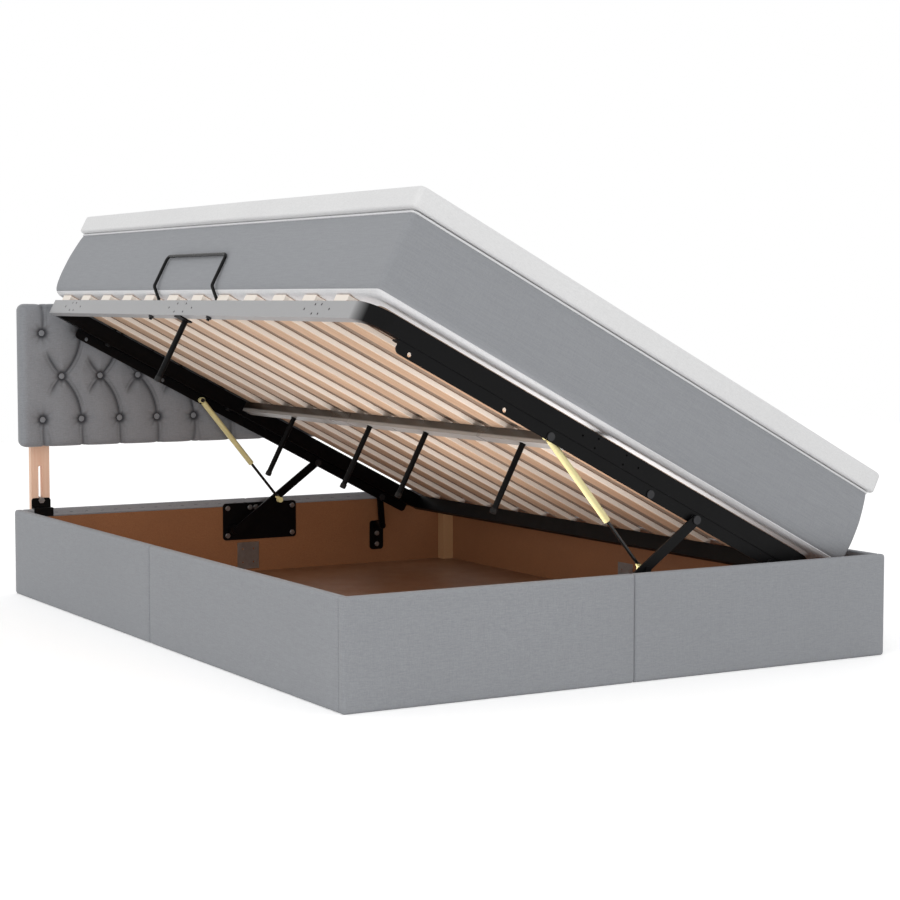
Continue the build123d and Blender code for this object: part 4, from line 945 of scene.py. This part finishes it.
def padFront(x, z):
    # depth below the full face, the deepest fold counting; near a button, sink times
    # exp(-(r / wellReach) ^ 1.15), with small folds that run out from it; and the painted shade of the folds
    # and of each button's well
    drop = np.zeros_like(x)
    crease = np.zeros_like(x)
    for line in foldLines():
        depth, dark = foldEffect(x, z, line)
        drop = np.maximum(drop, depth)
        crease = np.maximum(crease, dark)
    for spot in np.vstack(buttonSpots()):
        near = np.maximum(np.abs(x - spot[0]), np.abs(z - spot[1])) < head["nearButton"]
        r = np.hypot(x[near] - spot[0], z[near] - spot[1])
        angle = np.arctan2(z[near] - spot[1], x[near] - spot[0])
        well = head["sink"] * np.exp(-(r / head["wellReach"]) ** 1.15)
        rays = np.exp(-((r - head["wellReach"]) / head["rayWide"]) ** 2)
        rays = np.cos(head["rays"] * angle + spot[0] * 40) * rays
        drop[near] = np.maximum(drop[near], well) + head["rayDepth"] * rays
        # painted shade: darkest in the button's well, fading outwards, and along the small folds
        wellShade = np.exp(-(r / head["haloCore"]) ** 4) * 0.95 + 0.25 * np.exp(-(r / head["haloWide"]) ** 2)
        crease[near] = np.maximum(crease[near], wellShade + 0.12 * np.maximum(rays, 0.0))
    return drop, crease


def roundedCorners(x, z):
    # each corner's square is carried onto a quarter disc: p times sqrt(1 - q^2 / 2), and q likewise
    r = head["cornerRound"]
    middle = head["low"] + head["high"] / 2
    p = np.clip((np.abs(x) - head["halfWide"] + r) / r, 0, 1)
    q = np.clip((np.abs(z - middle) - head["high"] / 2 + r) / r, 0, 1)
    inX = r * (p - p * np.sqrt(1 - q ** 2 / 2))
    inZ = r * (q - q * np.sqrt(1 - p ** 2 / 2))
    return x - np.sign(x) * inX, z - np.sign(z - middle) * inZ


def makeHeadPad():
    # a grid over the face; its rim is rounded by a quarter circle and scalloped where pleats meet the edge
    countX = int(2 * head["halfWide"] / head["step"])
    countZ = int(head["high"] / head["step"])
    sx = np.linspace(-1, 1, countX + 1)
    sz = np.linspace(0, 1, countZ + 1)
    bottom, top, back = head["low"], head["low"] + head["high"], head["back"]
    gx, gz = np.meshgrid(sx * head["halfWide"], bottom + sz * head["high"], indexing="ij")
    drop, crease = padFront(gx, gz)
    toEdge = np.minimum(head["halfWide"] - np.abs(gx), np.minimum(gz - bottom, top - gz))
    r = head["edgeRound"]
    inEdge = np.clip(r - toEdge, 0.0, r)
    rim = r - np.sqrt(r * r - inEdge ** 2)
    drop = drop * np.clip(toEdge / head["rimShallow"], 0.25, 1.0)
    soft = head["soft"] * smoothNoise(gx * 22, gz * 22, 51)
    front = back - head["depth"] + rim + drop + soft * (toEdge > 0.004) + head["drawnIn"]
    front = np.minimum(front, back - head["leastDepth"])
    scallop = head["scallop"] * np.clip(crease, 0, 1) * np.clip(1 - toEdge / head["scallopWide"], 0, 1)
    gx, gz = roundedCorners(gx, gz)
    px = gx - np.sign(gx) * scallop * (head["halfWide"] - np.abs(gx) < 0.02)
    pz = gz + scallop * (gz - bottom < head["scallopWide"]) - scallop * (top - gz < head["scallopWide"])
    face = np.stack([px, front, pz], axis=-1)
    verts = [face.reshape(-1, 3)]
    faces = [gridFaces(countX + 1, countZ + 1)]
    index = np.arange((countX + 1) * (countZ + 1)).reshape(countX + 1, countZ + 1)
    border = np.concatenate([index[:, 0], index[-1, 1:], index[-2::-1, -1], index[0, -2:0:-1]])
    rimPoints = face.reshape(-1, 3)[border]
    loops = [border]
    start = len(verts[0])
    middle = np.array([0.0, 0.0, bottom + head["high"] / 2])
    halfSize = np.array([head["halfWide"], 1.0, head["high"] / 2])
    flat = np.clip((rimPoints - middle) / halfSize, -1, 1)
    # rings over the rim and the back's border and into the pocket behind: how far each lies before the back,
    # and how far it is drawn in from the outline
    pocket, deep = head["pocket"], head["pocketDeep"]
    for before, draw in ((0.006, 0.0), (0.0015, 0.0003), (0.0002, 0.0015), (0.0, 0.004), (0.0, pocket),
                         (deep, pocket), (deep, 0.03)):
        ring = middle + flat * (halfSize - np.array([draw, 0.0, draw]))
        ring[:, 1] = back - before
        verts.append(ring)
        loops.append(start + np.arange(len(ring)))
        start += len(ring)
    for first, second in zip(loops[:-1], loops[1:]):
        after = np.roll(np.arange(len(first)), -1)
        faces.append(np.stack([first, second, second[after], first[after]], axis=-1))
    verts.append([[0.0, back - deep, middle[2]]])
    last = loops[-1]
    allFaces = [f for part in faces for f in part]
    allFaces += [(start, last[(k + 1) % len(last)], last[k]) for k in range(len(last))]
    obj = meshObject("headboard_pad_cloth", np.vstack(verts), allFaces, [headCloth], "headboard",
                     "headboard_fabric")
    # the fold shade kept for each point, for the cloth's painted shade
    mask = np.zeros(start + 1)
    mask[:crease.size] = np.clip(crease, 0, 1).ravel()
    vertexMask(obj, "crease", mask)
    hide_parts("headboard_pad")


# Covered buttons: rings by their height above the sunk face and by their share of the radius
button = {"radius": 0.0112, "sunk": 0.93, "folds": 5, "foldDepth": 0.02, "crease": 0.12,
          "rise": (-0.0035, -0.001, 0.0008, 0.0026, 0.0040, 0.0049, 0.0053),
          "reach": (0.80, 0.97, 1.0, 0.93, 0.72, 0.42, 0.14)}


def makeButtons():
    # a dome whose rim tucks under, with faint folds in the cloth: radius times (1 + depth cos(folds turn))
    turn = around(20)
    rise = np.array(button["rise"])
    reach = np.array(button["reach"]) * button["radius"]
    faceY = head["back"] - head["depth"] + head["sink"] * button["sunk"]
    caps = []
    for spot in np.vstack(buttonSpots()):
        fold = 1 + button["foldDepth"] * np.cos(button["folds"] * turn + spot[0] * 31)
        ring = np.stack([spot[0] + reach[:, None] * np.cos(turn) * fold,
                         faceY - rise[:, None] + 0 * turn,
                         spot[1] + reach[:, None] * np.sin(turn) * fold], axis=-1)
        caps.append(closedRings(ring, flip=True))
    verts, faces = joined(caps)
    obj = meshObject("headboard_button_caps", verts, faces, [headCloth], "headboard", "headboard_fabric")
    # the whole cap takes a 0.12 share of the painted fold shade
    vertexMask(obj, "crease", np.full(len(verts), button["crease"]))
    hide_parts("headboard_buttons")


makeHeadPad()
makeButtons()
print("headboard made")


# Weld beads: rippled rings where the legs meet the tube and the rail
weld = {"legRadius": 0.007, "bead": 0.0016, "ripple": 0.18, "ripples": 13, "tubeU": 0.665,
        "tubeUnder": -0.028, "tubeLegs": (-0.606, -0.150, 0.150, 0.606), "railLeg": (0.026, 0.027, -0.044)}


def weldBeads():
    # a ring round each leg, its thickness rippled: bead times (1 + ripple cos(ripples turn))
    turn, section = around(40), around(8)
    faces = gridFaces(len(turn), len(section), wrapRows=True, wrapCols=True)
    spots = [(weld["tubeU"], y, weld["tubeUnder"]) for y in weld["tubeLegs"]] + [weld["railLeg"]]
    beads = []
    for u, y, w in spots:
        bead = weld["bead"] * (1 + weld["ripple"] * np.cos(weld["ripples"] * turn))
        ringRadius = weld["legRadius"] + bead[:, None] * np.cos(section)[None, :] * 0.9
        points = np.stack([u + ringRadius * np.cos(turn)[:, None], y + ringRadius * np.sin(turn)[:, None],
                           w + bead[:, None] * np.sin(section)[None, :]], axis=-1)
        beads.append((platformToWorld(points).reshape(-1, 3), faces))
    meshObject("weld_beads", *joined(beads), [blackSteel], "platform", "black_steel")


weldBeads()
print("weld beads made")


# Camera at the photograph's angle
camera = {"lens": 84.01, "place": (-2.6284, -4.7300, 0.8376), "down": 4.141, "aside": -30.197}


def makeCamera():
    data = bpy.data.cameras.new("photoCamera")
    data.lens = camera["lens"]
    data.sensor_width = 36.0
    data.sensor_fit = "HORIZONTAL"
    obj = bpy.data.objects.new("photoCamera", data)
    obj.location = camera["place"]
    obj.rotation_euler = (math.radians(90 - camera["down"]), 0.0, math.radians(camera["aside"]))
    scene.collection.objects.link(obj)
    scene.camera = obj


# Pale studio: an even white surround, one large soft lamp from the foot-left side, a low fill lamp, and two
# low strips of light on the floor of the well, turned towards the head, that stay under the closed platform
studio = {"surround": 0.80, "floorSize": 14.0, "floorDark": srgb(248, 248, 248),
          "floorLight": srgb(250, 250, 250), "floorGlow": 0.35}
lamps = {"softLamp": {"place": (-4.0, -4.0, 5.0), "aim": (0.0, 0.0, 0.4), "size": (4.0, 4.0), "power": 48.0},
         "fillLamp": {"place": (-2.4, -4.6, 0.5), "aim": (0.0, 0.0, 0.7), "size": (1.4, 1.4), "power": 8.0},
         "wellLamp": {"place": (-0.25, -0.86, 0.075), "aim": (-0.28, -0.39, 0.955), "size": (0.8, 0.09),
                      "power": 4.8},
         "deepLamp": {"place": (-0.25, -0.10, 0.075), "aim": (-0.28, 0.37, 0.955), "size": (0.8, 0.09),
                      "power": 2.7}}


def makeLamp(name, look):
    lamp = bpy.data.lights.new(name, "AREA")
    lamp.energy = look["power"]
    lamp.shape = "RECTANGLE"
    lamp.size, lamp.size_y = look["size"]
    obj = bpy.data.objects.new(name, lamp)
    obj.location = look["place"]
    direction = Vector(look["aim"]) - Vector(look["place"])
    obj.rotation_euler = direction.to_track_quat("-Z", "Y").to_euler()
    obj.visible_camera = False
    obj.visible_glossy = False
    scene.collection.objects.link(obj)


def seenDirectly(tree):
    # 1 for what the camera, a reflection or glass shows, 0 for light that falls on the object
    seen = addNode(tree, "LightPath").outputs
    mirrored = maths(tree, "MAXIMUM", seen["Is Glossy Ray"], seen["Is Transmission Ray"])
    return maths(tree, "MAXIMUM", seen["Is Camera Ray"], mirrored)


def makeStudio():
    world = bpy.data.worlds.new("surround")
    world.use_nodes = True
    scene.world = world
    tree = world.node_tree
    tree.nodes.clear()
    strength = ramp(tree, seenDirectly(tree), 0.0, 1.0, studio["surround"], 1.0)
    back = addNode(tree, "Background", {"Color": (1, 1, 1, 1), "Strength": strength})
    addNode(tree, "OutputWorld", {"Surface": back.outputs[0]})
    for name, look in lamps.items():
        makeLamp(name, look)


def makeFloor():
    half = studio["floorSize"] / 2
    corners = [(-half, -half, 0), (half, -half, 0), (half, half, 0), (-half, half, 0)]
    mesh = bpy.data.meshes.new("floor")
    mesh.from_pydata(corners, [], [(0, 1, 2, 3)])
    mat, tree, place = freshMaterial("paleFloor")
    speckle = ramp(tree, noiseAt(tree, place, 40.0, 4.0), 0.3, 0.7)
    tone = mixColor(tree, speckle, studio["floorDark"], studio["floorLight"])
    glow = product(tree, seenDirectly(tree), studio["floorGlow"])
    feed(tree, tree.nodes["Principled BSDF"],
         {"Base Color": tone, "Roughness": 0.9, "Specular IOR Level": 0.1, "Emission Color": tone,
          "Emission Strength": glow})
    mesh.materials.append(mat)
    floor = bpy.data.objects.new("floor", mesh)
    scene.collection.objects.link(floor)


makeCamera()
makeStudio()
makeFloor()
scene.view_settings.view_transform = "Standard"
print("camera and studio ready")
